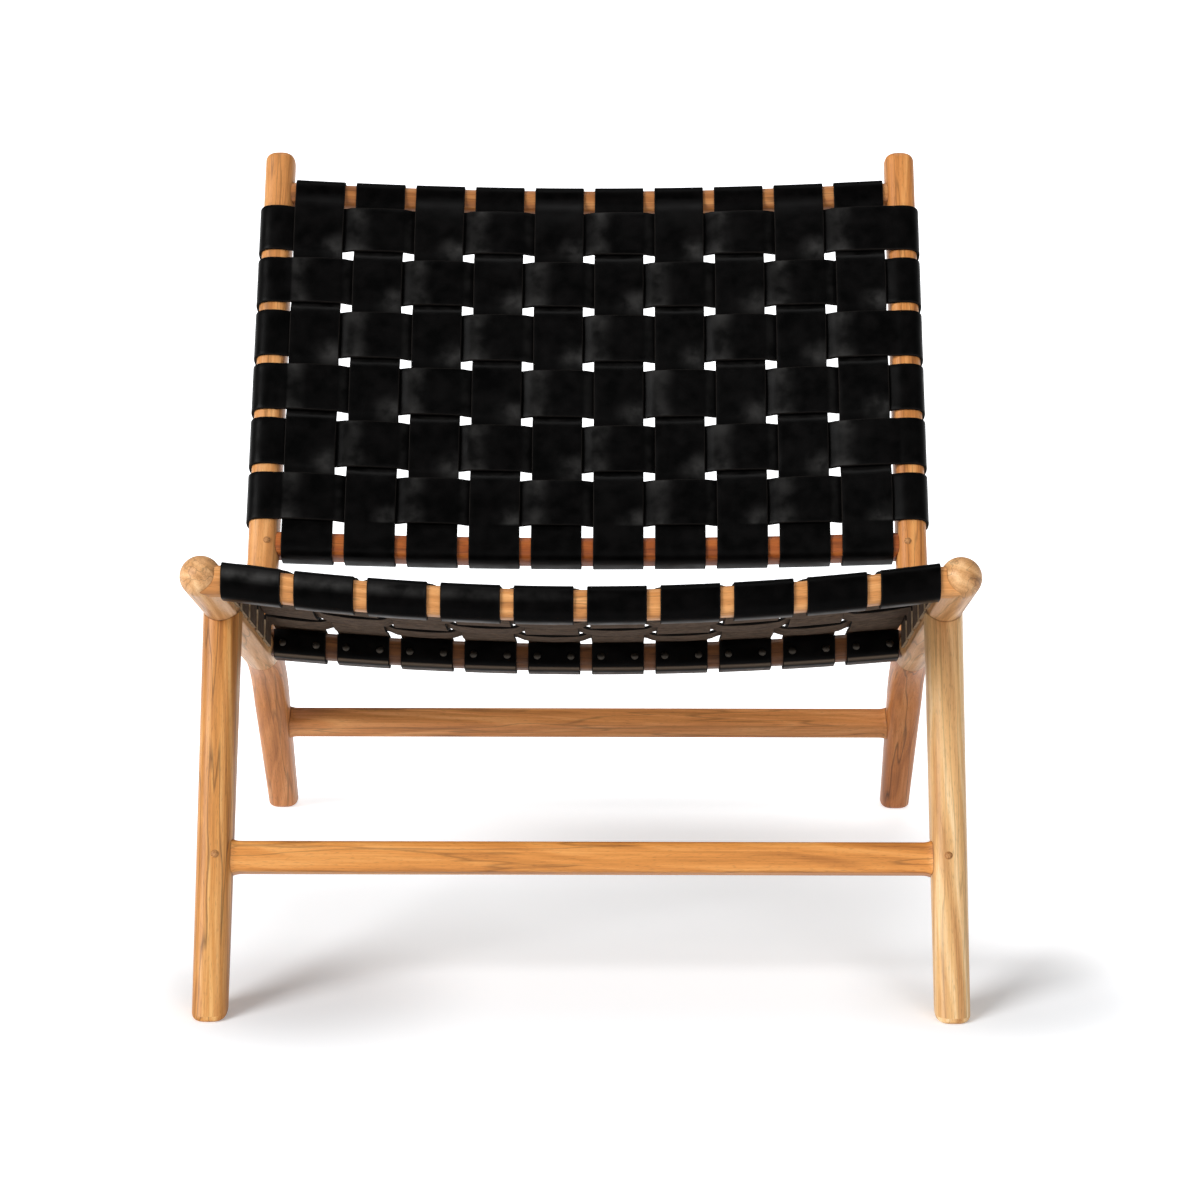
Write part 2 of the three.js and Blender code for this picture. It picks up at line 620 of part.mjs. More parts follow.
// A cross strap of the seat: its ends turn down on the flats of the side rails
function seatCrossStrap(row) {
  const alongs = [-1, 1].map((edge) => seat.rows[row] + (edge * STRAP_WIDTH) / 2);
  const endX = BOW_REACH + STRAP_FLAT_INSET - STRAP_OFFSET;
  const limit = endX - TURN_RADIUS;
  const bite = TURN_RADIUS * (1 - Math.SQRT1_2);
  const turn = (height) => [
    flat(-endX, -TURN_DOWN_DEPTH),
    flat(-endX, height - TURN_RADIUS),
    flat(-endX + bite, height - bite),
  ];
  const paths = alongs.map((along) => {
    const woven = crossPath(seat, row, along, limit);
    return [...turn(woven[0].y), ...woven, ...mirrored(turn(woven[woven.length - 1].y))];
  });
  return strapSkin(paths, (edge, point) => seat.point(point.x, alongs[edge], point.y));
}

// A cross strap of the back: its ends go round the posts
function backCrossStrap(row) {
  const ups = [-1, 1].map((edge) => back.rows[row] + (edge * STRAP_WIDTH) / 2);
  const turn = wrap(
    flat(-HALF, 0), POST_WIDTH, POST_DEPTH, POST_SQUARENESS, POST_WRAP_START, POST_WRAP_END,
  );
  const paths = ups.map((up) => [...turn, ...crossPath(back, row, up, HALF), ...mirrored(turn)]);
  return strapSkin(paths, (edge, point) => back.point(point.x, ups[edge], point.y));
}

// Assembly

const frame = new THREE.Group();
const straps = new THREE.Group();

function addPiece(group, name, skin, color, roughness) {
  skin.computeVertexNormals();
  const piece = new THREE.Mesh(skin, new THREE.MeshStandardMaterial({ color, roughness, metalness: 0 }));
  piece.name = name;
  group.add(piece);
}

const addWood = (name, solid, color) => addPiece(frame, name, toSkin(solid), color, WOOD_ROUGHNESS);
const addStrap = (name, skin) => addPiece(straps, name, skin, LEATHER_BLACK, LEATHER_ROUGHNESS);
const numbered = (name, index) => `${name}_${String(index + 1).padStart(2, '0')}`;

for (const [name, side] of Object.entries(SIDES)) {
  addWood(`${name}_side_rail`, sideRail(side), TEAK_TAN);
  addWood(`${name}_front_leg`, frontLeg(side), TEAK_HONEY);
  addWood(`${name}_rear_leg`, rearLeg(side), TEAK_TAN);
  addWood(`${name}_back_post`, post(side), TEAK_TAN);
  addWood(`${name}_stretcher_peg`, stretcherPeg(side), PEG_BROWN);
  addWood(`${name}_rail_peg`, railPeg(side), PEG_BROWN);
}

const sidePegs = (peg) => Object.values(SIDES).map((side) => peg(side, FIT));
addWood('front_seat_rail', bowedRail(frontRail, sideRailBar, railTenon), TEAK_ORANGE);
addWood('rear_seat_rail', bowedRail(rearRail, sideRailBar, railTenon), TEAK_ORANGE);
addWood('lower_back_rail', bowedRail(lowerRail, postBar, backTenon, sidePegs(railPeg)), TEAK_ORANGE);
addWood('top_back_rail', bowedRail(topRail, postBar, backTenon), TEAK_ORANGE);
addWood(
  'front_stretcher',
  stretcher(frontStretcher, frontLegBar, frontStretcherTenon, sidePegs(stretcherPeg)),
  TEAK_ORANGE,
);
addWood('rear_stretcher', stretcher(rearStretcher, rearLegBar, rearStretcherTenon), TEAK_ORANGE);

for (let column = 0; column < LONG_STRAPS; column += 1) {
  addStrap(numbered('seat_long_strap', column), longStrap(seat, column));
  addStrap(numbered('back_upright_strap', column), longStrap(back, column));
}
for (let row = 0; row < CROSS_STRAPS; row += 1) {
  addStrap(numbered('seat_cross_strap', row), seatCrossStrap(row));
  addStrap(numbered('back_cross_strap', row), backCrossStrap(row));
}

const chair = new THREE.Group();
chair.add(frame, straps);

// The origin goes under the middle of the outline
const outline = new THREE.Box3().setFromObject(chair);
chair.position.y = -outline.getCenter(new THREE.Vector3()).y;

export default chair;
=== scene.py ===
"""Lounge chair with a teak frame and a seat and back of woven black leather straps.

Sizes are millimetres and degrees until a mesh is written, which is in metres. The chair faces -Y and
stands on Z = 0, in the frame of its solids.
"""
import json
import logging
import math
from dataclasses import dataclass, field
from enum import Enum
from typing import Any, Callable, Sequence

import bpy
import numpy as np
from mathutils import Euler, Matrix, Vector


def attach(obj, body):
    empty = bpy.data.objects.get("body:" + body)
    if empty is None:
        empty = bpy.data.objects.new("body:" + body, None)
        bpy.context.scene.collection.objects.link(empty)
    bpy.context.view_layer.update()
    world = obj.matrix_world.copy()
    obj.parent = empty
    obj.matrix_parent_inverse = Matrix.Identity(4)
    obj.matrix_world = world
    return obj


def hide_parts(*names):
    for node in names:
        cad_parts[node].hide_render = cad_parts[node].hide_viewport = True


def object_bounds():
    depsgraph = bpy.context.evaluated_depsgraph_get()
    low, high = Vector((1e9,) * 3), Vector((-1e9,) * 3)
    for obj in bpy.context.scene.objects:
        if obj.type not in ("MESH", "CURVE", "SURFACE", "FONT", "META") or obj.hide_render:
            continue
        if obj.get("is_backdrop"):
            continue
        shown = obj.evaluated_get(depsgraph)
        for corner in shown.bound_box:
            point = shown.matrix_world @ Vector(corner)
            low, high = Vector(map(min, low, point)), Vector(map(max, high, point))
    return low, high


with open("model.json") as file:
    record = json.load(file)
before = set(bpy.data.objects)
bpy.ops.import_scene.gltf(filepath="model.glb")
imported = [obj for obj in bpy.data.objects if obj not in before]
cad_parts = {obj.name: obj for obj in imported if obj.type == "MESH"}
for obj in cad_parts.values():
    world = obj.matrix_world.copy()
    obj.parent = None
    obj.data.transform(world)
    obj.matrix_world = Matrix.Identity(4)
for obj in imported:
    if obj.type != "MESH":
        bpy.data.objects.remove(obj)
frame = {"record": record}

LOG = logging.getLogger("lounge_chair")
CAD_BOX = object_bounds()
BODY = "root"
MM = 0.001

Array = np.ndarray
Pair = tuple[float, float]
Triple = tuple[float, float, float]
Tree = bpy.types.NodeTree
Node = bpy.types.Node
Material = bpy.types.Material
Mesh = bpy.types.Mesh
Piece = bpy.types.Object


class Side(Enum):
    """The two side frames, by the sign of their X."""

    LEFT = -1
    RIGHT = 1

    @property
    def word(self) -> str:
        """The side's word in piece names."""
        return self.name.lower()


class Zone(Enum):
    """Surfaces of a strap, by material slot."""

    GRAIN = 0
    FLESH = 1
    EDGE = 2
    END = 3


# Sizes


@dataclass(frozen=True)
class Sizes:
    """Driving sizes of the chair, the same as those of its solids."""

    frame_spacing: float = 650.0
    knuckle_height: float = 390.0
    knuckle_setback: float = 22.1
    seat_slope: float = 22.2
    rail_radius: float = 18.0
    strap_flat_inset: float = 3.5
    strap_flat_margin: float = 4.0
    back_recline: float = 34.7
    post_place: float = 453.0
    post_length: float = 553.0
    post_width: float = 31.0
    post_depth: float = 34.0
    post_top_round: float = 8.0
    rail_end_margin: float = 1.5
    front_leg_rake: float = 27.4
    front_leg_top: Pair = (34.0, 50.0)
    front_foot: Pair = (31.0, 34.0)
    rear_foot_setback: float = 637.3
    rear_leg_rake: float = 33.2
    rear_leg_knee: Pair = (35.0, 46.0)
    rear_foot: Pair = (30.0, 34.0)
    knee_run: float = 50.0
    foot_round: float = 5.0
    cross_rail: float = 26.0
    front_stretcher: Pair = (28.0, 24.0)
    rear_stretcher: Pair = (25.0, 24.0)
    front_stretcher_level: float = 124.5
    rear_stretcher_level: float = 109.0
    strap_width: float = 51.0
    leather: float = 2.8
    long_straps: int = 10
    cross_straps: int = 6
    seat_edge_gap: float = 0.6
    back_edge_gap: float = 3.0
    back_top_gap: float = 6.5
    back_bottom_gap: float = 9.5
    seat_sag: float = 2.5
    seat_edge_lift: float = 5.0
    back_slump: float = 6.0
    crossing_margin: float = 0.8
    turn_down_depth: float = 5.0
    turn_radius: float = 2.2
    fit: float = 0.3
    joint_gap: float = 0.25
    peg_diameter: float = 7.0
    peg_length: float = 26.0
    peg_proud: float = 0.4
    stretcher_peg_inset: float = 2.0
    rail_peg_inset: float = 4.5

    @property
    def half(self) -> float:
        """Middle of the chair to the centre line of a side frame."""
        return self.frame_spacing / 2

    @property
    def bow_reach(self) -> float:
        """Middle of the chair to the inner side of a side rail."""
        return self.half - self.rail_radius

    @property
    def strap_offset(self) -> float:
        """Wood to the middle of a strap's thickness."""
        return self.fit + self.leather / 2

    @property
    def crossing_offset(self) -> float:
        """Middle of the weave to the middle of a strap."""
        return (self.fit + self.leather) / 2


SIZES = Sizes()
ROUND = 2.0
POST_POWER = 2.8
RAIL_POWER = 3.5
LEG_POWER = 3.0
STRETCHER_POWER = 5.0
CREASED_POWER = 6.0


@dataclass(frozen=True)
class CrossRail:
    """A bowed rail that carries straps: its place along the panel, its rise and its bow."""

    node: str
    place: float
    rise: float
    bow: float

    def centre(self, x: Array) -> Array:
        """Height of the rail's centre line above the panel's base line, at each x."""
        return self.rise - self.bow * bow_share(x)


FRONT_RAIL = CrossRail("front_seat_rail", 0.0, -4.0, 20.5)
REAR_RAIL = CrossRail("rear_seat_rail", 428.0, 3.0, 14.0)
LOWER_RAIL = CrossRail("lower_back_rail", 110.5, 0.0, 15.0)
TOP_RAIL = CrossRail("top_back_rail", 506.0, 0.0, 18.0)


def bow_share(x: Array) -> Array:
    """Share of a rail's bow at each x: 1 in the middle and 0 at the side frames."""
    return 1 - np.minimum(np.abs(x) / SIZES.bow_reach, 1) ** 2


def direction(degrees: float) -> Array:
    """Unit vector of the side view, as (towards the back, up), at an angle above the level."""
    return np.array([math.cos(math.radians(degrees)), math.sin(math.radians(degrees))])


class SideView:
    """Places and directions in the chair's side view, as (towards the back, up) pairs."""

    def __init__(self, sizes: Sizes) -> None:
        """Works the side view out from the sizes.

        Args:
            sizes: the chair's sizes.
        """
        mounts = {mount["name"]: mount["pos_m"] for mount in frame["record"]["mounts"]}
        self.front_foot = np.array([mounts["left_front_sole"][1] / MM, 0.0])
        self.level = direction(0)
        self.along_rail = direction(-sizes.seat_slope)
        self.above_rail = direction(90 - sizes.seat_slope)
        self.up_post = direction(90 - sizes.back_recline)
        self.ahead_post = direction(180 - sizes.back_recline)
        self.up_front_leg = direction(90 - sizes.front_leg_rake)
        self.ahead_front_leg = direction(180 - sizes.front_leg_rake)
        self.down_rear_leg = direction(sizes.rear_leg_rake - 90)
        self.behind_rear_leg = direction(sizes.rear_leg_rake)
        self.knuckle = self.front_foot + np.array([sizes.knuckle_setback, sizes.knuckle_height])
        self.post_foot = self.seat(sizes.post_place, 0.0)
        self.front_leg_top = self.meet(self.front_foot, self.up_front_leg)
        self.rear_foot = self.front_foot + self.level * sizes.rear_foot_setback
        self.knee_corner = self.meet(self.rear_foot, self.down_rear_leg)
        self.knee_end = self.knee_corner + self.down_rear_leg * sizes.knee_run
        lean = math.radians(sizes.back_recline - sizes.seat_slope)
        half_depth = sizes.post_depth / 2 / math.cos(lean)
        self.rail_end = (
            sizes.post_place + half_depth + sizes.rail_radius * math.tan(lean) + sizes.rail_end_margin
        )

    def seat(self, along: Array, above: Array) -> Array:
        """Places in the seat, from distances along the side rail and heights above its centre line."""
        run = np.multiply.outer(along, self.along_rail)
        return self.knuckle + run + np.multiply.outer(above, self.above_rail)

    def back(self, up: Array, ahead: Array) -> Array:
        """Places in the back, from distances up the post and ahead of its centre line."""
        run = np.multiply.outer(up, self.up_post)
        return self.post_foot + run + np.multiply.outer(ahead, self.ahead_post)

    def meet(self, start: Array, run: Array) -> Array:
        """Where a line with a start and a direction meets the side rail's centre line."""
        along, _ = np.linalg.solve(np.column_stack([self.along_rail, -run]), start - self.knuckle)
        return self.knuckle + self.along_rail * along

    def leg_at(self, foot: Array, run: Array, height: float) -> Array:
        """Place on a leg's centre line at a height above the floor."""
        return foot + run * (height / run[1])


VIEW = SideView(SIZES)


def at_width(x: Array, place: Array) -> Array:
    """Points in the chair from their X and their places in the side view."""
    x = np.broadcast_to(x, place.shape[:-1])
    return np.concatenate([x[..., None], place], axis=-1)


# Finishes


WOOD_IOR = 1.46
LEATHER_IOR = 1.5


def linear(colour: str) -> tuple[float, float, float, float]:
    """Turns an sRGB hex colour to linear RGBA.

    Args:
        colour: the colour as "#RRGGBB".

    Returns:
        Linear red, green, blue and an alpha of 1.
    """
    parts = [int(colour[k:k + 2], 16) / 255 for k in (1, 3, 5)]
    red, green, blue = (p / 12.92 if p <= 0.04045 else ((p + 0.055) / 1.055) ** 2.4 for p in parts)
    return red, green, blue, 1.0


def set_inputs(tree: Tree, node: Node, inputs: dict | Sequence[Any]) -> None:
    """Sets a node's inputs.

    Args:
        tree: the node tree.
        node: the node.
        inputs: values, or output sockets to link, in order or by the input's name or index.
    """
    for key, value in inputs.items() if isinstance(inputs, dict) else enumerate(inputs):
        if isinstance(value, bpy.types.NodeSocket):
            tree.links.new(value, node.inputs[key])
        else:
            node.inputs[key].default_value = value


def add_node(tree: Tree, kind: str, inputs: dict | Sequence[Any] = (), **settings: Any) -> Node:
    """Adds a node, with its settings and links.

    Args:
        tree: the node tree.
        kind: the node's type.
        inputs: values or sockets, as in set_inputs.
        settings: the node's own properties.

    Returns:
        The node.
    """
    node = tree.nodes.new(kind)
    for name, value in settings.items():
        setattr(node, name, value)
    set_inputs(tree, node, inputs)
    return node


def set_stops(ramp: bpy.types.ColorRamp, stops: Sequence[float], colours: Sequence[str]) -> None:
    """Sets the colours of a ramp.

    Args:
        ramp: the ramp.
        stops: rising values from 0 to 1.
        colours: their colours.
    """
    while len(ramp.elements) < len(stops):
        ramp.elements.new(0.5)
    for element, stop, colour in zip(ramp.elements, stops, colours):
        element.position = stop
        element.color = linear(colour)


def new_material(name: str) -> tuple[Material, Tree, Node]:
    """Makes a material with a Principled shader.

    Args:
        name: the material's name.

    Returns:
        The material, its tree and its shader.
    """
    material = bpy.data.materials.new(name)
    material.use_nodes = True
    return material, material.node_tree, material.node_tree.nodes["Principled BSDF"]


@dataclass(frozen=True)
class OiledTeak:
    """Teak, planed, sanded and oiled: warm brown with fine dark lines along the grain.

    The grain is cut from a trunk whose heart runs nearly along the piece, so its rings show as lines
    and, where a face lies flat to them, as arches. Each node has its own cut. Feature sizes are in
    millimetres, across the grain, in depth and along it.
    """

    node: str
    dark: str
    middle: str
    light: str
    heart: Pair = (26.0, 34.0)
    lean: Pair = (0.03, 0.05)
    ring_width: float = 6.5
    figure: float = 16.0
    streak: float = 0.62
    streak_level: float = 0.47
    streak_width: float = 0.02
    streak_size: Triple = (16.0, 16.0, 260.0)
    slow_size: Triple = (34.0, 34.0, 170.0)
    line_size: Triple = (1.2, 1.2, 60.0)
    band_size: Triple = (10.0, 10.0, 320.0)
    # Real pores are about 0.3 mm wide; they are drawn wider, so that they show.
    pore_size: Triple = (0.6, 0.6, 7.0)
    pore_range: Pair = (0.58, 0.72)
    pore_shade: float = 0.74
    joint_range: Pair = (0.1, 0.8)
    joint_shade: float = 0.66
    weights: tuple[float, float, float, float] = (0.27, 0.2, 0.35, 0.18)
    stops: Triple = (0.34, 0.5, 0.63)
    gloss_range: Pair = (0.3, 0.7)
    roughness: Pair = (0.5, 0.38)
    groove: float = 0.6
    groove_depth: float = 0.15
    groove_strength: float = 0.35
    noise_roughness: float = 0.55
    sheen: float = 0.42
    shift: float = 0.0
    shift_ratio: Triple = (1.0, 1.7, 9.0)

    def build(self) -> Material:
        """Makes the material.

        Returns:
            A material that reads the piece's grain_place and joint attributes, in millimetres.
        """
        material, tree, shader = new_material(f"teak_{self.node}")
        grain = add_node(tree, "ShaderNodeAttribute", attribute_name="grain_place").outputs["Vector"]
        shift = tuple(ratio * self.shift for ratio in self.shift_ratio)
        place = add_node(tree, "ShaderNodeVectorMath", (grain, shift), operation="ADD").outputs[0]
        slow = self.drawn_out(tree, place, self.slow_size, 2.0)
        rings = self.rings(tree, place, slow)
        lines = self.drawn_out(tree, place, self.line_size, 4.0)
        bands = self.drawn_out(tree, place, self.band_size, 4.0)
        pores = self.drawn_out(tree, place, self.pore_size, 1.0)
        tone = self.weigh(tree, (rings, lines, bands, slow), self.weights)
        flecks = (pores, *self.pore_range, 1.0, self.pore_shade)
        fleck = add_node(tree, "ShaderNodeMapRange", flecks).outputs[0]
        joint = add_node(tree, "ShaderNodeAttribute", attribute_name="joint").outputs["Fac"]
        seams = (joint, *self.joint_range, self.joint_shade, 1.0)
        seam = add_node(tree, "ShaderNodeMapRange", seams).outputs[0]
        shade = add_node(tree, "ShaderNodeMath", (fleck, seam), operation="MULTIPLY").outputs[0]
        streaks = self.streaks(tree, place)
        shade = add_node(tree, "ShaderNodeMath", (shade, streaks), operation="MULTIPLY").outputs[0]
        ramp = add_node(tree, "ShaderNodeValToRGB", (tone,))
        set_stops(ramp.color_ramp, self.stops, (self.dark, self.middle, self.light))
        shaded = {0: 1.0, 6: ramp.outputs[0], 7: shade}
        colour = add_node(tree, "ShaderNodeMix", shaded, data_type="RGBA", blend_type="MULTIPLY").outputs[2]
        gloss = add_node(tree, "ShaderNodeMapRange", (tone, *self.gloss_range, *self.roughness)).outputs[0]
        height = self.weigh(tree, (lines, fleck), (self.groove, self.groove))
        grooves = {"Strength": self.groove_strength, "Distance": self.groove_depth * MM, "Height": height}
        set_inputs(tree, shader, {
            "Base Color": colour,
            "Roughness": gloss,
            "Normal": add_node(tree, "ShaderNodeBump", grooves).outputs[0],
            "IOR": WOOD_IOR,
            "Specular IOR Level": self.sheen,
        })
        return material

    def streaks(self, tree: Tree, place: Any) -> Any:
        """Adds a few thin dark lines that wander along the grain.

        Args:
            tree: the node tree.
            place: the socket that gives the place in the grain.

        Returns:
            The socket of a shade from the streak's own to 1.
        """
        wander = self.drawn_out(tree, place, self.streak_size, 2.0)
        off = add_node(tree, "ShaderNodeMath", (wander, self.streak_level), operation="SUBTRACT").outputs[0]
        away = add_node(tree, "ShaderNodeMath", (off,), operation="ABSOLUTE").outputs[0]
        shades = (away, 0.0, self.streak_width, self.streak, 1.0)
        return add_node(tree, "ShaderNodeMapRange", shades).outputs[0]

    def drawn_out(self, tree: Tree, place: Any, size: Triple, detail: float) -> Any:
        """Adds a soft pattern that is drawn out along the grain.

        Args:
            tree: the node tree.
            place: the socket that gives the place in the grain.
            size: the size of its features.
            detail: its finer layers.

        Returns:
            The socket of its value.
        """
        scale = tuple(1 / part for part in size)
        scaled = add_node(tree, "ShaderNodeVectorMath", (place, scale), operation="MULTIPLY").outputs[0]
        inputs = {"Vector": scaled, "Scale": 1.0, "Detail": detail, "Roughness": self.noise_roughness}
        return add_node(tree, "ShaderNodeTexNoise", inputs).outputs[0]

    def rings(self, tree: Tree, place: Any, slow: Any) -> Any:
        """Adds the growth rings, as noise along the distance from the heart of the trunk.

        Args:
            tree: the node tree.
            place: the socket that gives the place in the grain.
            slow: slow noise that bends the rings.

        Returns:
            The socket of the rings' tone.
        """
        parts = add_node(tree, "ShaderNodeSeparateXYZ", (place,)).outputs
        offsets = []
        for axis, (heart, lean) in enumerate(zip(self.heart, self.lean)):
            drift = add_node(tree, "ShaderNodeMath", (parts[2], lean, heart), operation="MULTIPLY_ADD")
            offset = add_node(tree, "ShaderNodeMath", (parts[axis], drift.outputs[0]), operation="ADD")
            offsets.append(offset.outputs[0])
        radial = add_node(tree, "ShaderNodeCombineXYZ", offsets).outputs[0]
        distance = add_node(tree, "ShaderNodeVectorMath", (radial,), operation="LENGTH").outputs["Value"]
        bends = (slow, self.figure, distance)
        wavy = add_node(tree, "ShaderNodeMath", bends, operation="MULTIPLY_ADD").outputs[0]
        count = add_node(tree, "ShaderNodeMath", (wavy, self.ring_width), operation="DIVIDE").outputs[0]
        inputs = {"W": count, "Scale": 1.0, "Detail": 2.0}
        return add_node(tree, "ShaderNodeTexNoise", inputs, noise_dimensions="1D").outputs[0]

    def weigh(self, tree: Tree, parts: Sequence[Any], weights: Sequence[float]) -> Any:
        """Adds values up by weight.

        Args:
            tree: the node tree.
            parts: their sockets.
            weights: their weights.

        Returns:
            The socket of the sum.
        """
        total: Any = 0.0
        for part, weight in zip(parts, weights):
            inputs = (part, weight, total)
            total = add_node(tree, "ShaderNodeMath", inputs, operation="MULTIPLY_ADD").outputs[0]
        return total


@dataclass(frozen=True)
class EndGrainTeak:
    """Sawn and sanded ends of teak pegs: a shade darker than the frame, with fine open pores."""

    name: str = "teak_end_grain"
    dark: str = "#96602F"
    light: str = "#C88F56"
    stops: Pair = (0.35, 0.6)
    # Real pores are about 0.3 mm wide; they are drawn wider, so that they show.
    pore: float = 0.8
    roughness: float = 0.6

    def build(self) -> Material:
        """Makes the material.

        Returns:
            A material on Object coordinates.
        """
        material, tree, shader = new_material(self.name)
        place = add_node(tree, "ShaderNodeTexCoord").outputs["Object"]
        pores = {"Vector": place, "Scale": 1 / (self.pore * MM), "Detail": 3.0}
        noise = add_node(tree, "ShaderNodeTexNoise", pores).outputs[0]
        ramp = add_node(tree, "ShaderNodeValToRGB", (noise,))
        set_stops(ramp.color_ramp, self.stops, (self.dark, self.light))
        set_inputs(tree, shader, {
            "Base Color": ramp.outputs[0],
            "Roughness": self.roughness,
            "IOR": WOOD_IOR,
        })
        return material


@dataclass(frozen=True)
class StrapLeather:
    """Vegetable-tanned strap leather, dyed black and waxed: a soft sheen over a fine, shallow grain."""

    name: str = "black_strap_leather"
    dark: str = "#020202"
    light: str = "#070606"
    stops: Pair = (0.35, 0.7)
    # Lighter where the strap bends sharply.
    bend_tone: str = "#171513"
    # A light line along the fold round the rear seat rail's lower front arris: partly wear at the fold,
    # partly a painted highlight.
    creased: str = "#8C7C6C"
    # Painted sheen: a lighter colour laid on near crossing corners, on the slopes where straps dive, and in
    # a band on the front faces, where lamps would glint.
    scuffed: str = "#3A3938"
    bend_range: Pair = (0.22, 0.5)
    crease_range: Pair = (0.4, 1.3)
    scuff_range: Pair = (0.05, 1.3)
    # Patches that break up the painted sheen.
    cloud_range: Pair = (0.36, 0.62)
    cloud_least: float = 0.25
    gloss_range: Pair = (0.3, 0.7)
    roughness: Pair = (0.32, 0.44)
    # The reflection is turned down from the first sheen to the second where tuck rises, as painted shade.
    tuck_range: Pair = (0.0, 0.5)
    sheen: Pair = (0.06, 0.021)
    patch: float = 16.0
    dent: float = 30.0
    dent_depth: float = 1.6
    # The real grain is about 0.6 mm wide; it is drawn coarser, so that it shows.
    pebble: float = 1.3
    pebble_depth: float = 0.06
    pebble_strength: float = 0.3

    def build(self) -> Material:
        """Makes the material.

        Returns:
            A material on Object coordinates and the straps' bend, crease, scuff and tuck attributes.
        """
        material, tree, shader = new_material(self.name)
        place = add_node(tree, "ShaderNodeTexCoord").outputs["Object"]
        soft = {"Vector": place, "Scale": 1 / (self.patch * MM), "Detail": 4.0}
        patches = add_node(tree, "ShaderNodeTexNoise", soft).outputs[0]
        sheen_clouds = (patches, *self.cloud_range, self.cloud_least, 1.0)
        sheen_cloud = add_node(tree, "ShaderNodeMapRange", sheen_clouds).outputs[0]
        ramp = add_node(tree, "ShaderNodeValToRGB", (patches,))
        set_stops(ramp.color_ramp, self.stops, (self.dark, self.light))
        colour = self.rub_and_sheen(tree, ramp.outputs[0], "bend", self.bend_range, self.bend_tone)
        colour = self.rub_and_sheen(tree, colour, "crease", self.crease_range, self.creased)
        colour = self.rub_and_sheen(tree, colour, "scuff", self.scuff_range, self.scuffed, sheen_cloud)
        glosses = (patches, *self.gloss_range, *self.roughness)
        gloss = add_node(tree, "ShaderNodeMapRange", glosses).outputs[0]
        wide = {"Vector": place, "Scale": 1 / (self.dent * MM), "Detail": 1.0}
        dents = add_node(tree, "ShaderNodeTexNoise", wide).outputs[0]
        uneven = {"Strength": 1.0, "Distance": self.dent_depth * MM, "Height": dents}
        pebbles = add_node(
            tree, "ShaderNodeTexVoronoi", {"Vector": place, "Scale": 1 / (self.pebble * MM)},
            feature="SMOOTH_F1",
        ).outputs["Distance"]
        pebbled = {
            "Strength": self.pebble_strength,
            "Distance": self.pebble_depth * MM,
            "Height": pebbles,
            "Normal": add_node(tree, "ShaderNodeBump", uneven).outputs[0],
        }
        # Reflection turned down where the tuck attribute rises: painted shade.
        tuck = add_node(tree, "ShaderNodeAttribute", attribute_name="tuck").outputs["Fac"]
        shaded_shine = add_node(tree, "ShaderNodeMapRange", (tuck, *self.tuck_range, *self.sheen)).outputs[0]
        set_inputs(tree, shader, {
            "Base Color": colour,
            "Roughness": gloss,
            "Normal": add_node(tree, "ShaderNodeBump", pebbled, invert=True).outputs[0],
            "IOR": LEATHER_IOR,
            "Specular IOR Level": shaded_shine,
        })
        return material

    def rub_and_sheen(self, tree: Tree, colour: Any, name: str, limits: Pair, tint: str, sheen_cloud: Any = 1.0) -> Any:
        """Mixes in a lighter colour where an attribute says so: a tone at sharp bends, a light line along
        the crease that is partly a painted highlight, and a painted sheen.

        Args:
            tree: the node tree.
            colour: the socket of the colour so far.
            name: the attribute that says where.
            limits: the attribute's values where the lighter colour starts and where it is complete.
            tint: the lighter colour.
            sheen_cloud: how much of it shows, as a share or its socket.

        Returns:
            The socket of the mixed colour.
        """
        value = add_node(tree, "ShaderNodeAttribute", attribute_name=name).outputs["Fac"]
        share = add_node(tree, "ShaderNodeMapRange", (value, *limits, 0.0, sheen_cloud)).outputs[0]
        inputs = {0: share, 6: colour, 7: linear(tint)}
        return add_node(tree, "ShaderNodeMix", inputs, data_type="RGBA").outputs[2]


@dataclass(frozen=True)
class FibrousLeather:
    """The flesh side or a cut face of leather: matt, with short loose fibres."""

    name: str
    dark: str
    light: str
    stops: Pair = (0.32, 0.68)
    patch: float = 9.0
    patch_roughness: float = 0.65
    # Real fibres are far finer; they are drawn coarser, so that they show.
    fibre: float = 0.9
    fibre_depth: float = 0.15
    fibre_strength: float = 0.5
    roughness: float = 0.85
    sheen: float = 0.12

    def build(self) -> Material:
        """Makes the material.

        Returns:
            A material on Object coordinates.
        """
        material, tree, shader = new_material(self.name)
        place = add_node(tree, "ShaderNodeTexCoord").outputs["Object"]
        rough = self.patch_roughness
        soft = {"Vector": place, "Scale": 1 / (self.patch * MM), "Detail": 6.0, "Roughness": rough}
        patches = add_node(tree, "ShaderNodeTexNoise", soft).outputs[0]
        ramp = add_node(tree, "ShaderNodeValToRGB", (patches,))
        set_stops(ramp.color_ramp, self.stops, (self.dark, self.light))
        fine = {"Vector": place, "Scale": 1 / (self.fibre * MM), "Detail": 3.0}
        height = add_node(tree, "ShaderNodeTexNoise", fine).outputs[0]
        fibres = {"Strength": self.fibre_strength, "Distance": self.fibre_depth * MM, "Height": height}
        set_inputs(tree, shader, {
            "Base Color": ramp.outputs[0],
            "Roughness": self.roughness,
            "Specular IOR Level": self.sheen,
            "Normal": add_node(tree, "ShaderNodeBump", fibres).outputs[0],
        })
        return material


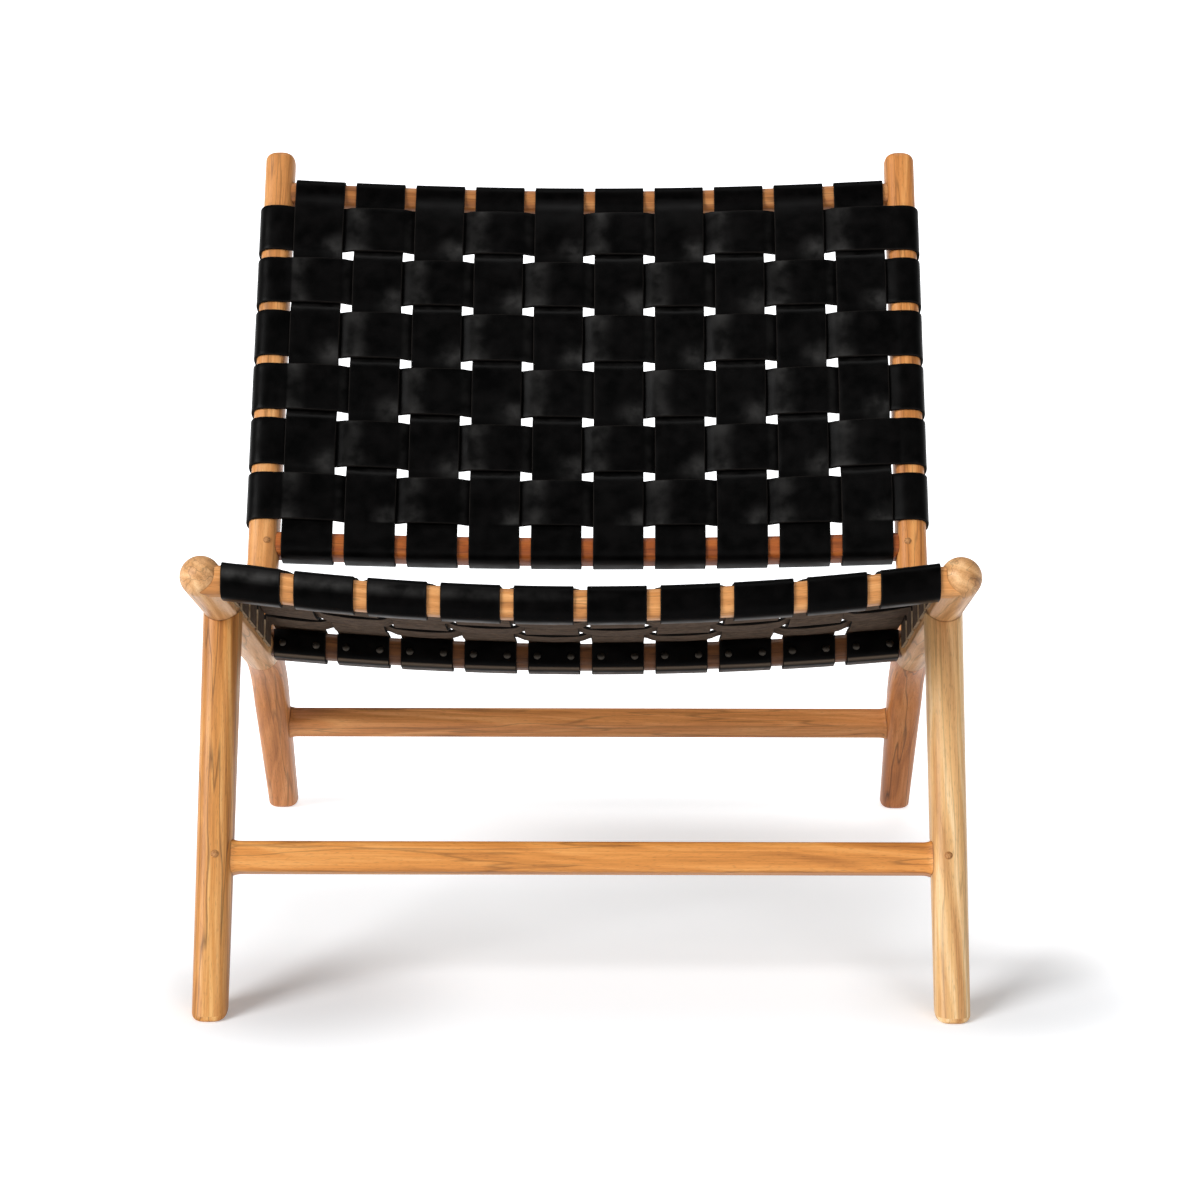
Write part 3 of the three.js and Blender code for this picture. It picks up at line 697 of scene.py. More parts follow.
@dataclass(frozen=True)
class BlackenedSteel:
    """Steel screw heads, blackened in oil: dark, slightly uneven and half glossy."""

    name: str = "blackened_steel"
    colour: str = "#403C37"
    patch: float = 2.0
    roughness: Pair = (0.3, 0.55)

    def build(self) -> Material:
        """Makes the material.

        Returns:
            A material on Object coordinates.
        """
        material, tree, shader = new_material(self.name)
        place = add_node(tree, "ShaderNodeTexCoord").outputs["Object"]
        soft = {"Vector": place, "Scale": 1 / (self.patch * MM), "Detail": 2.0}
        patches = add_node(tree, "ShaderNodeTexNoise", soft).outputs[0]
        gloss = add_node(tree, "ShaderNodeMapRange", (patches, 0.0, 1.0, *self.roughness)).outputs[0]
        set_inputs(tree, shader, {
            "Base Color": linear(self.colour),
            "Roughness": gloss,
            "Metallic": 1.0,
        })
        return material


# Meshes


def section(first: float, second: float, power: float, count: int) -> Array:
    """Points round a rounded section of two sizes: a power of 2 is an ellipse, more is squarer."""
    angle = np.linspace(0, 2 * np.pi, count, endpoint=False)
    return section_point(angle, first, second, power)


def section_point(angle: Array, first: float, second: float, power: float) -> Array:
    """Points of a rounded section at angles from its first direction; see section."""
    way = np.stack([np.cos(angle), np.sin(angle)], axis=-1)
    return np.sign(way) * np.abs(way) ** (2 / power) * (first / 2, second / 2)


NO_JOINT = 99.0


@dataclass
class Bar:
    """A closed bar: rings from one end to the other, each point with its place in the grain.

    The first and last ring may shrink to a point. Joints holds each point's distance from the nearest
    joint line.
    """

    rings: list[Array] = field(default_factory=list)
    grain: list[Array] = field(default_factory=list)
    joints: list[Array] = field(default_factory=list)

    def add(self, points: Array, outline: Array, along: Array, joint: Array | float = NO_JOINT) -> None:
        """Adds a ring.

        Args:
            points: the ring's points.
            outline: their places across the grain.
            along: their distance along the grain.
            joint: their distance from a joint line.
        """
        count = len(points)
        self.rings.append(points)
        self.grain.append(np.column_stack([outline, np.broadcast_to(along, count)]))
        self.joints.append(np.broadcast_to(np.asarray(joint, float), count))

    def build(self, name: str, material: Material, crease: float = 35.0) -> Piece:
        """Writes the bar's mesh.

        Args:
            name: the object's name.
            material: its finish.
            crease: angle in degrees past which an edge stays sharp.

        Returns:
            The object.
        """
        mesh = tube_mesh(name, np.stack(self.rings))
        store(mesh, "grain_place", np.concatenate(self.grain))
        store(mesh, "joint", np.concatenate(self.joints))
        return finish_mesh(name, mesh, [material], crease)


def ring_quads(rows: int, count: int) -> Array:
    """Faces between rings of points that are numbered ring by ring.

    Args:
        rows: number of rings.
        count: points in each ring.

    Returns:
        Four point numbers for each face.
    """
    start = np.arange(rows - 1)[:, None] * count
    here = np.arange(count)
    after = (here + 1) % count
    quads = [start + here, start + after, start + after + count, start + here + count]
    return np.stack(quads, axis=-1).reshape(-1, 4)


def tube_mesh(name: str, points: Array) -> Mesh:
    """Makes a closed tube from its rings.

    Args:
        name: the mesh's name.
        points: an array of rings, their points and those points' coordinates.

    Returns:
        The mesh, whose last two faces are its ends.
    """
    rows, count = points.shape[:2]
    ends = [list(range(count))[::-1], list(range((rows - 1) * count, rows * count))]
    mesh = bpy.data.meshes.new(name)
    mesh.from_pydata((points.reshape(-1, 3) * MM).tolist(), [], ring_quads(rows, count).tolist() + ends)
    return mesh


def store(mesh: Mesh, name: str, values: Array) -> None:
    """Writes an attribute of a mesh's points: a number or a vector for each."""
    kind, key = ("FLOAT_VECTOR", "vector") if values.ndim == 2 else ("FLOAT", "value")
    mesh.attributes.new(name, kind, "POINT").data.foreach_set(key, values.astype(np.float32).ravel())


def add_object(name: str, data: Any) -> Piece:
    """Adds an object to the scene.

    Args:
        name: its name.
        data: its mesh, light or camera.

    Returns:
        The object.
    """
    made = bpy.data.objects.new(name, data)
    bpy.context.scene.collection.objects.link(made)
    return made


def finish_mesh(name: str, mesh: Mesh, materials: Sequence[Material], crease: float) -> Piece:
    """Turns a mesh's faces outwards, smooths it and links it.

    Args:
        name: the object's name.
        mesh: the mesh.
        materials: its finishes, by slot.
        crease: angle in degrees past which an edge stays sharp.

    Returns:
        The object.
    """
    mesh.validate()
    if signed_volume(mesh) < 0:
        mesh.flip_normals()
    mesh.shade_smooth()
    mesh.set_sharp_from_angle(angle=math.radians(crease))
    for material in materials:
        mesh.materials.append(material)
    return add_object(name, mesh)


def signed_volume(mesh: Mesh) -> float:
    """Volume of a closed mesh.

    Args:
        mesh: the mesh.

    Returns:
        The volume, negative where its faces point inwards.
    """
    points = np.zeros(len(mesh.vertices) * 3, np.float32)
    mesh.vertices.foreach_get("co", points)
    mesh.calc_loop_triangles()
    corners = np.zeros(len(mesh.loop_triangles) * 3, np.int32)
    mesh.loop_triangles.foreach_get("vertices", corners)
    a, b, c = np.moveaxis(points.reshape(-1, 3)[corners.reshape(-1, 3)], 1, 0)
    return float(np.einsum("ij,ij->i", a, np.cross(b, c)).sum() / 6)


def spaced(length: float, step: float, ends: Sequence[float] = (0.4, 1.2, 3.0)) -> Array:
    """Shares from 0 to 1 along a length, closer together near both ends.

    Args:
        length: the length.
        step: distance between steps in the middle.
        ends: extra distances from each end.

    Returns:
        Rising shares.
    """
    middle = np.linspace(0, length, max(int(length / step), 2))
    middle = middle[(middle > max(ends) + 1) & (middle < length - max(ends) - 1)]
    near = np.array([0.0, *ends])
    return np.concatenate([near, middle, (length - near)[::-1]]) / length


CAP_SHARES = (0.96, 0.8, 0.5, 0.2, 0.02)
BAR_STEP = 6.0


def rounded_end(radius: float, steps: int) -> list[Triple]:
    """Rings of a flat end with a rounded edge.

    Args:
        radius: the edge's radius.
        steps: number of rings round the edge.

    Returns:
        Each ring's distance from the end, its inset and the share of its size that it shrinks to.
    """
    turns = np.radians(np.linspace(90, 0, steps))
    edge = [(radius * (1 - math.sin(turn)), radius * (1 - math.cos(turn)), 1.0) for turn in turns]
    return [(0.0, radius, share) for share in CAP_SHARES[::-1]] + edge


@dataclass
class SideFrame:
    """One side of the frame: side rail, front leg, rear leg and back post.

    It is made from the chair's sizes and side view, with teak as the finishes by node.
    """

    side: Side
    sizes: Sizes
    view: SideView
    teak: dict[str, Material]
    count: int = 72
    rail_count: int = 96
    rail_step: float = 4.0
    ball_steps: int = 15
    sole_steps: int = 8
    post_steps: int = 10
    knee_steps: int = 26
    arris: float = 0.6
    flat_fade: float = 7.0

    @property
    def x(self) -> float:
        """X of the side frame's centre line."""
        return self.side.value * self.sizes.half

    def build(self) -> None:
        """Makes the four pieces."""
        for name, bar in (
            ("side_rail", self.side_rail()),
            ("front_leg", self.front_leg()),
            ("rear_leg", self.rear_leg()),
            ("back_post", self.back_post()),
        ):
            node = f"{self.side.word}_{name}"
            place_piece(bar.build(f"{node}_teak", self.teak[node]), [node])

    def ring(self, centre: Array, across: Array, outline: Array) -> Array:
        """Ring round a member, from its centre, the way of its depth and its section's points."""
        return at_width(self.x + outline[:, 0], centre + outline[:, 1:] * across)

    def side_rail(self) -> Bar:
        """A round bar with a ball end, and a flat planed on its inner side for the strap ends.

        Returns:
            The bar.
        """
        sizes, view = self.sizes, self.view
        radius = sizes.rail_radius
        bar = Bar()
        unit = section(2, 2, ROUND, self.rail_count)
        for angle in np.radians(np.linspace(89.5, 6, self.ball_steps)):
            self.rail_ring(bar, unit, -radius * math.sin(angle), radius * math.cos(angle))
        edge = self.arris
        for share in spaced(view.rail_end - edge, self.rail_step):
            self.rail_ring(bar, unit, share * (view.rail_end - edge), radius)
        for share in (1.0, *CAP_SHARES):
            self.rail_ring(bar, unit, view.rail_end, (radius - edge) * share, joint=0.0)
        return bar

    def rail_ring(
        self, bar: Bar, unit: Array, along: float, radius: float, joint: float | None = None,
    ) -> None:
        """Adds a ring of the side rail, cut by the flat.

        Args:
            bar: the bar to add to.
            unit: points of a circle of radius 1.
            along: the ring's place along the rail.
            radius: its radius.
            joint: distance from the joint at the rear end, measured if not given.
        """
        sizes, view = self.sizes, self.view
        start, end = strap_flat(sizes)
        cut = np.clip(min(along - start, end - along) / self.flat_fade, 0, 1)
        limit = sizes.rail_radius - sizes.strap_flat_inset * math.sqrt(cut)
        outline = unit * radius
        inner = -self.side.value * outline[:, 0]
        outline[:, 0] = -self.side.value * np.minimum(inner, limit)
        place = view.seat(np.full(len(unit), along), outline[:, 1])
        distance = abs(view.rail_end - along) if joint is None else joint
        bar.add(at_width(self.x + outline[:, 0], place), outline, along, distance)

    def to_rail(self, low: Array, high: Array) -> Array:
        """Shares of the way along straight lines at which they reach the side rail.

        Args:
            low: the lines' starts, outside the rail.
            high: their ends, inside it.

        Returns:
            A share for each line.
        """
        radius = self.sizes.rail_radius + self.sizes.joint_gap
        halvings = 40
        near, far = np.zeros(len(low)), np.ones(len(low))
        for _ in range(halvings):
            middle = (near + far) / 2
            points = low + (high - low) * middle[:, None]
            above = (points[:, 1:] - self.view.knuckle) @ self.view.above_rail
            outside = np.hypot(points[:, 0] - self.x, above) > radius
            near = np.where(outside, middle, near)
            far = np.where(outside, far, middle)
        return near

    def coped(self, bar: Bar, low: Array, high: Array, outline: Array, start: float) -> None:
        """Adds straight rings that end against the side rail, and the hollow face there.

        Args:
            bar: the bar to add to.
            low: the ring that the stretch starts from.
            high: the ring on the rail's centre line that it runs towards.
            outline: the section's points.
            start: distance along the grain at the start.
        """
        length = float(np.linalg.norm(high.mean(0) - low.mean(0)))
        stop = self.to_rail(low, high)
        for share in spaced(length, BAR_STEP)[1:]:
            points = low + (high - low) * (stop * share)[:, None]
            joint = (1 - share) * stop * length
            bar.add(points, outline, start + share * stop * length, joint)
        for share in CAP_SHARES:
            inner_low = low.mean(0) + (low - low.mean(0)) * share
            inner_high = high.mean(0) + (high - high.mean(0)) * share
            reach = self.to_rail(inner_low, inner_high)
            points = inner_low + (inner_high - inner_low) * reach[:, None]
            bar.add(points, outline * share, start + reach * length, 0.0)

    def sole(self, bar: Bar, foot: Array, run: Array, size: Pair, upward: bool, along: float) -> None:
        """Adds the rings of a flat sole with a rounded edge.

        Args:
            bar: the bar to add to.
            foot: the middle of the sole.
            run: direction of the leg.
            size: the foot's width and depth, level.
            upward: whether the rings go up from the sole or down to it.
            along: distance along the grain at the sole.
        """
        rings = rounded_end(self.sizes.foot_round, self.sole_steps)
        for lift, inset, share in rings if upward else rings[::-1]:
            outline = section(size[0] - 2 * inset, size[1] - 2 * inset, LEG_POWER, self.count) * share
            centre = self.view.leg_at(foot, run, lift)
            distance = along + (lift if upward else -lift)
            bar.add(self.ring(centre, self.view.level, outline), outline, distance)

    def front_leg(self) -> Bar:
        """A tapered leg, raked back and hollowed at its top to fit under the side rail.

        Returns:
            The bar.
        """
        sizes, view = self.sizes, self.view
        rake = math.radians(sizes.front_leg_rake)
        lean = math.radians(sizes.front_leg_rake - sizes.seat_slope)
        foot_size = (sizes.front_foot[0], sizes.front_foot[1] / math.cos(rake))
        bar = Bar()
        self.sole(bar, view.front_foot, view.up_front_leg, foot_size, True, 0.0)
        top_size = (sizes.front_leg_top[0], sizes.front_leg_top[1] / math.cos(lean))
        high = self.ring(view.front_leg_top, view.along_rail, section(*top_size, LEG_POWER, self.count))
        outline = section(*sizes.front_leg_top, LEG_POWER, self.count)
        self.coped(bar, bar.rings[-1], high, outline, sizes.foot_round)
        return bar

    def rear_leg(self) -> Bar:
        """A leg that carries on from the side rail, bends at the knee and runs straight to the floor.

        Returns:
            The bar.
        """
        sizes, view = self.sizes, self.view
        start = view.seat(view.rail_end + sizes.joint_gap, 0.0)
        bar = Bar()
        edge = self.arris
        run = 0.0
        for share in CAP_SHARES[::-1]:
            outline = section(1, 1, ROUND, self.count) * 2 * (sizes.rail_radius - edge) * share
            bar.add(self.ring(start, view.above_rail, outline), outline, 0.0, 0.0)
        steps = np.concatenate([[0.0, 0.004, 0.02], np.linspace(0.05, 1, self.knee_steps)])
        previous = start
        for share in steps:
            centre = (
                start * (1 - share) ** 2
                + view.knee_corner * 2 * share * (1 - share)
                + view.knee_end * share ** 2
            )
            tangent = (view.knee_corner - start) * (1 - share) + (view.knee_end - view.knee_corner) * share
            tangent /= np.linalg.norm(tangent)
            width = mix(2 * sizes.rail_radius, sizes.rear_leg_knee[0], share)
            depth = mix(2 * sizes.rail_radius, sizes.rear_leg_knee[1], share)
            trim = edge * 2 if share == 0 else 0.0
            outline = section(width - trim, depth - trim, mix(ROUND, LEG_POWER, share), self.count)
            run += float(np.linalg.norm(centre - previous))
            previous = centre
            bar.add(self.ring(centre, np.array([-tangent[1], tangent[0]]), outline), outline, run, run)
        rake = math.radians(sizes.rear_leg_rake)
        foot_size = (sizes.rear_foot[0], sizes.rear_foot[1] / math.cos(rake))
        low_outline = section(*foot_size, LEG_POWER, self.count)
        ankle = view.leg_at(view.rear_foot, view.down_rear_leg, sizes.foot_round)
        low, high = self.ring(ankle, view.level, low_outline), bar.rings[-1]
        length = float(np.linalg.norm(low.mean(0) - high.mean(0)))
        for share in np.linspace(0, 1, int(length / BAR_STEP))[1:-1]:
            outline = mix(bar.grain[-1][:, :2], low_outline, share)
            bar.add(mix(high, low, share), outline, run + share * length)
        end = run + length + sizes.foot_round
        self.sole(bar, view.rear_foot, view.down_rear_leg, foot_size, False, end)
        return bar

    def back_post(self) -> Bar:
        """A straight post with a softly rounded top, hollowed at its foot to stand on the side rail.

        Returns:
            The bar.
        """
        sizes, view = self.sizes, self.view
        radius = sizes.post_top_round
        bar = Bar()
        for drop, inset, share in rounded_end(radius, self.post_steps):
            size = (sizes.post_width - 2 * inset, sizes.post_depth - 2 * inset)
            outline = section(*size, POST_POWER, self.count) * share
            centre = view.back(sizes.post_length - drop, 0.0)
            bar.add(self.ring(centre, -view.ahead_post, outline), outline, drop)
        lean = math.radians(sizes.back_recline - sizes.seat_slope)
        foot = section(sizes.post_width, sizes.post_depth / math.cos(lean), POST_POWER, self.count)
        low = self.ring(view.post_foot, view.along_rail, foot)
        outline = section(sizes.post_width, sizes.post_depth, POST_POWER, self.count)
        self.coped(bar, bar.rings[-1], low, outline, radius)
        return bar


def mix(a: Any, b: Any, share: float) -> Any:
    """Value between two others, at a share of the way."""
    return a + (b - a) * share


def strap_flat(sizes: Sizes) -> Pair:
    """Start and end of the flat on a side rail, along the rail."""
    rows, reach = seat_rows(sizes), sizes.strap_width / 2 + sizes.strap_flat_margin
    return rows[0] - reach, rows[-1] + reach


def seat_rows(sizes: Sizes) -> Array:
    """Middles of the seat's cross straps, evenly spaced along the seat.

    Args:
        sizes: the chair's sizes.

    Returns:
        Their places along the side rail.
    """
    cover = sizes.cross_rail / 2 + sizes.fit + sizes.leather
    free = REAR_RAIL.place - FRONT_RAIL.place - 2 * cover - sizes.cross_straps * sizes.strap_width
    gap = free / (sizes.cross_straps + 1)
    first = FRONT_RAIL.place + cover + gap + sizes.strap_width / 2
    return first + np.arange(sizes.cross_straps) * (sizes.strap_width + gap)


@dataclass
class CrossMembers:
    """Rails and stretchers between the side frames, the stretchers with a small fillet at each end."""

    sizes: Sizes
    view: SideView
    teak: dict[str, Material]
    count: int = 64
    flare: float = 0.1
    flare_run: float = 7.0
    end_steps: tuple[float, ...] = (0.4, 1.0, 1.8, 2.8, 4.0, 5.5, 7.5)

    def build(self) -> None:
        """Makes the four rails and the two stretchers."""
        sizes, view = self.sizes, self.view
        rail_outline = section(sizes.cross_rail, sizes.cross_rail, RAIL_POWER, self.count)
        for rail in (FRONT_RAIL, REAR_RAIL):
            self.member(rail.node, rail_outline, self.rail_place(rail, view.seat), self.rail_end(rail))
        for rail in (LOWER_RAIL, TOP_RAIL):
            self.member(rail.node, rail_outline, self.rail_place(rail, view.back), self.post_end)
        front = (
            view.front_foot, view.up_front_leg, view.ahead_front_leg, sizes.front_foot, sizes.front_leg_top,
            view.front_leg_top[1], sizes.front_stretcher, sizes.front_stretcher_level,
        )
        rear = (
            view.rear_foot, view.down_rear_leg, view.behind_rear_leg, sizes.rear_foot, sizes.rear_leg_knee,
            view.knee_end[1], sizes.rear_stretcher, sizes.rear_stretcher_level,
        )
        for word, (foot, run, out, foot_size, top_size, top_height, size, level) in (
            ("front", front), ("rear", rear),
        ):
            centre = view.leg_at(foot, run, level)
            self.member(
                f"{word}_stretcher", section(*size, STRETCHER_POWER, self.count),
                self.stretcher_place(centre, run, out),
                self.leg_end(foot_size, top_size, top_height, centre[1], run[1]), self.flare,
            )

    def member(self, node: str, outline: Array, place: Callable, end: Callable, flare: float = 0.0) -> None:
        """Makes one member, with each line of its surface running to the piece that it meets.

        Args:
            node: the node that it stands for.
            outline: its section.
            place: gives the side view places of section points at given X.
            end: gives the X at which section points meet the side frame.
            flare: how much wider it gets at its ends, as a share of its size.
        """
        bar = Bar()
        wide = outline * (1 + flare)
        caps = [(wide * share, end(wide * share)) for share in CAP_SHARES]
        for points, x in caps[::-1]:
            bar.add(at_width(-x, place(points, -x)), points, -x, 0.0)
        length = float(end(outline).mean())
        for share in spaced(2 * length, BAR_STEP, self.end_steps):
            near = length * min(share, 1 - share) * 2
            points = outline * (1 + flare * max(1 - near / self.flare_run, 0) ** 2)
            x = end(points) * (2 * share - 1)
            bar.add(at_width(x, place(points, x)), points, x, near)
        for points, x in caps:
            bar.add(at_width(x, place(points, x)), points, x, 0.0)
        place_piece(bar.build(f"{node}_teak", self.teak[node]), [node])

    def rail_place(self, rail: CrossRail, panel: Callable) -> Callable:
        """Places of a bowed rail's section points.

        Args:
            rail: the rail.
            panel: the side view's seat or back.

        Returns:
            A function of section points and their X.
        """
        def place(points: Array, x: Array) -> Array:
            """Side view places of section points at given X."""
            return panel(rail.place + points[:, 0], rail.centre(x) + points[:, 1])
        return place

    def stretcher_place(self, centre: Array, first: Array, second: Array) -> Callable:
        """Places of a stretcher's section points.

        Args:
            centre: its middle in the side view.
            first: direction of the section's first size.
            second: direction of its second size.

        Returns:
            A function of section points and their X.
        """
        def place(points: Array, x: Array) -> Array:
            """Side view places of section points, the same at any X."""
            return centre + np.outer(points[:, 0], first) + np.outer(points[:, 1], second)
        return place

    def rail_end(self, rail: CrossRail) -> Callable:
        """X at which a seat rail's section points meet the round side rail or its ball end.

        Args:
            rail: the rail.

        Returns:
            A function of section points.
        """
        radius = self.sizes.rail_radius + self.sizes.joint_gap

        def end(points: Array) -> Array:
            """X of section points on the side rail.

            Args:
                points: the section points.

            Returns:
                X of each.
            """
            past = np.minimum(rail.place + points[:, 0], 0)
            above = rail.rise + points[:, 1]
            return self.sizes.half - np.sqrt(np.maximum(radius ** 2 - above ** 2 - past ** 2, 0))
        return end

    def post_end(self, points: Array) -> Array:
        """X at which a back rail's section points meet the post.

        Args:
            points: section points, along the post and ahead of it.

        Returns:
            X of each point.
        """
        gap = self.sizes.joint_gap
        half_width, half_depth = self.sizes.post_width / 2 + gap, self.sizes.post_depth / 2 + gap
        share = 1 - np.abs(points[:, 1] / half_depth) ** POST_POWER
        return self.sizes.half - half_width * share ** (1 / POST_POWER)

    def leg_end(self, foot: tuple, top: tuple, top_height: float, height: float, rise: float) -> Callable:
        """X at which a stretcher's section points meet a tapered leg.

        Args:
            foot: width and depth of the leg at the floor.
            top: width and depth at its top.
            top_height: height of the top.
            height: height of the stretcher.
            rise: height that the leg gains for each millimetre of its length.

        Returns:
            A function of section points.
        """
        gap = self.sizes.joint_gap

        def end(points: Array) -> Array:
            """X of section points on the leg.

            Args:
                points: the section points.

            Returns:
                X of each.
            """
            share = (height + points[:, 0] * rise) / top_height
            half_width = mix(foot[0], top[0], share) / 2 + gap
            half_depth = mix(foot[1], top[1], share) / 2 + gap
            inner = 1 - np.abs(points[:, 1] / half_depth) ** LEG_POWER
            return self.sizes.half - half_width * inner ** (1 / LEG_POWER)
        return end


def place_piece(piece: Piece, nodes: Sequence[str] = ()) -> Piece:
    """Fixes a finished piece to the chair.

    Args:
        piece: the piece.
        nodes: the solids that it stands for.

    Returns:
        The piece.
    """
    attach(piece, BODY)
    if nodes:
        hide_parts(*nodes)
    LOG.info("%s: %d faces", piece.name, len(piece.data.polygons))
    return piece


# Straps


def strap_outline(sizes: Sizes) -> tuple[Array, Array, list[Zone]]:
    """Section of a strap: a flat band with burnished upper edges.

    Args:
        sizes: the chair's sizes.

    Returns:
        Distances from the strap's middle line, heights above its mid thickness, and the surface that
        follows each point, going round from the left edge over the grain side.
    """
    half, thick = sizes.strap_width / 2, sizes.leather / 2
    upper, lower = 0.9, 0.45
    rim: list[tuple[float, float, Zone]] = []

    def edge(side: int, level: int, radius: float, degrees: Sequence[float]) -> None:
        """Adds points round one of the four edges.

        Args:
            side: -1 for the left edges and 1 for the right ones.
            level: -1 for the lower edges and 1 for the upper ones.
            radius: the edge's radius.
            degrees: directions of the points.
        """
        for turn in np.radians(degrees):
            across = side * (half - radius) + radius * math.cos(turn)
            rim.append((across, level * (thick - radius) + radius * math.sin(turn), Zone.EDGE))

    def face(places: Array, level: int, zone: Zone) -> None:
        """Adds points across the upper or the lower face, with an edge after the last."""
        rim.extend((place, level * thick, zone) for place in places[:-1])
        rim.append((places[-1], level * thick, Zone.EDGE))

    edge(-1, 1, upper, (180, 150, 120))
    face(np.linspace(-1, 1, 13) * (half - upper), 1, Zone.GRAIN)
    edge(1, 1, upper, (60, 30, 0))
    edge(1, -1, lower, (0, -45))
    face(np.linspace(1, -1, 9) * (half - lower), -1, Zone.FLESH)
    edge(-1, -1, lower, (225, 180))
    across, height, zones = zip(*rim)
    return np.array(across), np.array(height), list(zones)


def smooth_path(points: Array, rows: int, softness: float) -> Array:
    """Evens out a path's spacing and rounds its corners.

    Args:
        points: the path's points, close together.
        rows: number of points wanted.
        softness: radius of the rounding, in millimetres.

    Returns:
        The new points, with the same ends.
    """
    fine = 0.5
    steps = np.hypot(*np.diff(points, axis=0).T)
    keep = np.concatenate([[True], steps > 1e-6])
    points, steps = points[keep], steps[steps > 1e-6]
    travel = np.concatenate([[0], np.cumsum(steps)])
    even = np.linspace(0, travel[-1], int(travel[-1] / fine))
    path = np.column_stack([np.interp(even, travel, points[:, k]) for k in (0, 1)])
    reach = int(3 * softness / fine)
    weights = np.exp(-0.5 * (np.arange(-reach, reach + 1) * fine / softness) ** 2)
    weights /= weights.sum()
    lead = path[0] + (path[0] - path[1]) * np.arange(reach, 0, -1)[:, None]
    tail = path[-1] + (path[-1] - path[-2]) * np.arange(1, reach + 1)[:, None]
    padded = np.concatenate([lead, path, tail])
    soft = np.column_stack([np.convolve(padded[:, k], weights, "valid") for k in (0, 1)])
    picks = np.linspace(0, len(soft) - 1, rows)
    return np.column_stack([np.interp(picks, np.arange(len(soft)), soft[:, k]) for k in (0, 1)])


def left_normals(path: Array) -> Array:
    """Unit vectors to the left of a path, at each of its points."""
    run = np.gradient(path, axis=0)
    return np.column_stack([-run[:, 1], run[:, 0]]) / np.linalg.norm(run, axis=1, keepdims=True)


def bent(knots: Sequence[Triple], at: Array) -> Array:
    """Heights of a bent strip through knots.

    Args:
        knots: rising places, their heights and their slopes.
        at: where heights are wanted.

    Returns:
        The heights.
    """
    places, heights, slopes = np.array(knots).T
    index = np.clip(np.searchsorted(places, at, side="right") - 1, 0, len(places) - 2)
    span = places[index + 1] - places[index]
    share = np.clip((at - places[index]) / span, 0, 1)
    rise = share * share * (3 - 2 * share)
    start = span * slopes[index] * share * (1 - share) ** 2
    end = span * slopes[index + 1] * share ** 2 * (share - 1)
    return heights[index] * (1 - rise) + heights[index + 1] * rise + start + end


def bump(at: Array, middle: float, width: float) -> Array:
    """A smooth bump of height 1 that fades over a width from its middle."""
    return np.exp(-((at - middle) / width) ** 2)


@dataclass
class Panel:
    """A woven panel: the rails that it hangs between, its straps' rows and columns, and its shape.

    Place gives side view places from the distance along the panel and the height above its base line.
    Level gives the height of the middle of the weave.
    """

    word: str
    long_word: str
    low: CrossRail
    high: CrossRail
    rows: Array
    columns: Array
    wrap_end: float
    wrap_power: float
    odd_over: bool
    place: Callable[[Array, Array], Array]
    level: Callable[[Array, Array], Array]

    @property
    def is_seat(self) -> bool:
        """Whether it is the seat and not the back."""
        return self.word == "seat"

    def column_over(self, column: int, row: int) -> bool:
        """Whether a long strap passes over a cross strap."""
        return ((column + row) % 2 == 1) == self.odd_over


ANGLE_SLACK = 0.1
NO_CROSSING = 9.0


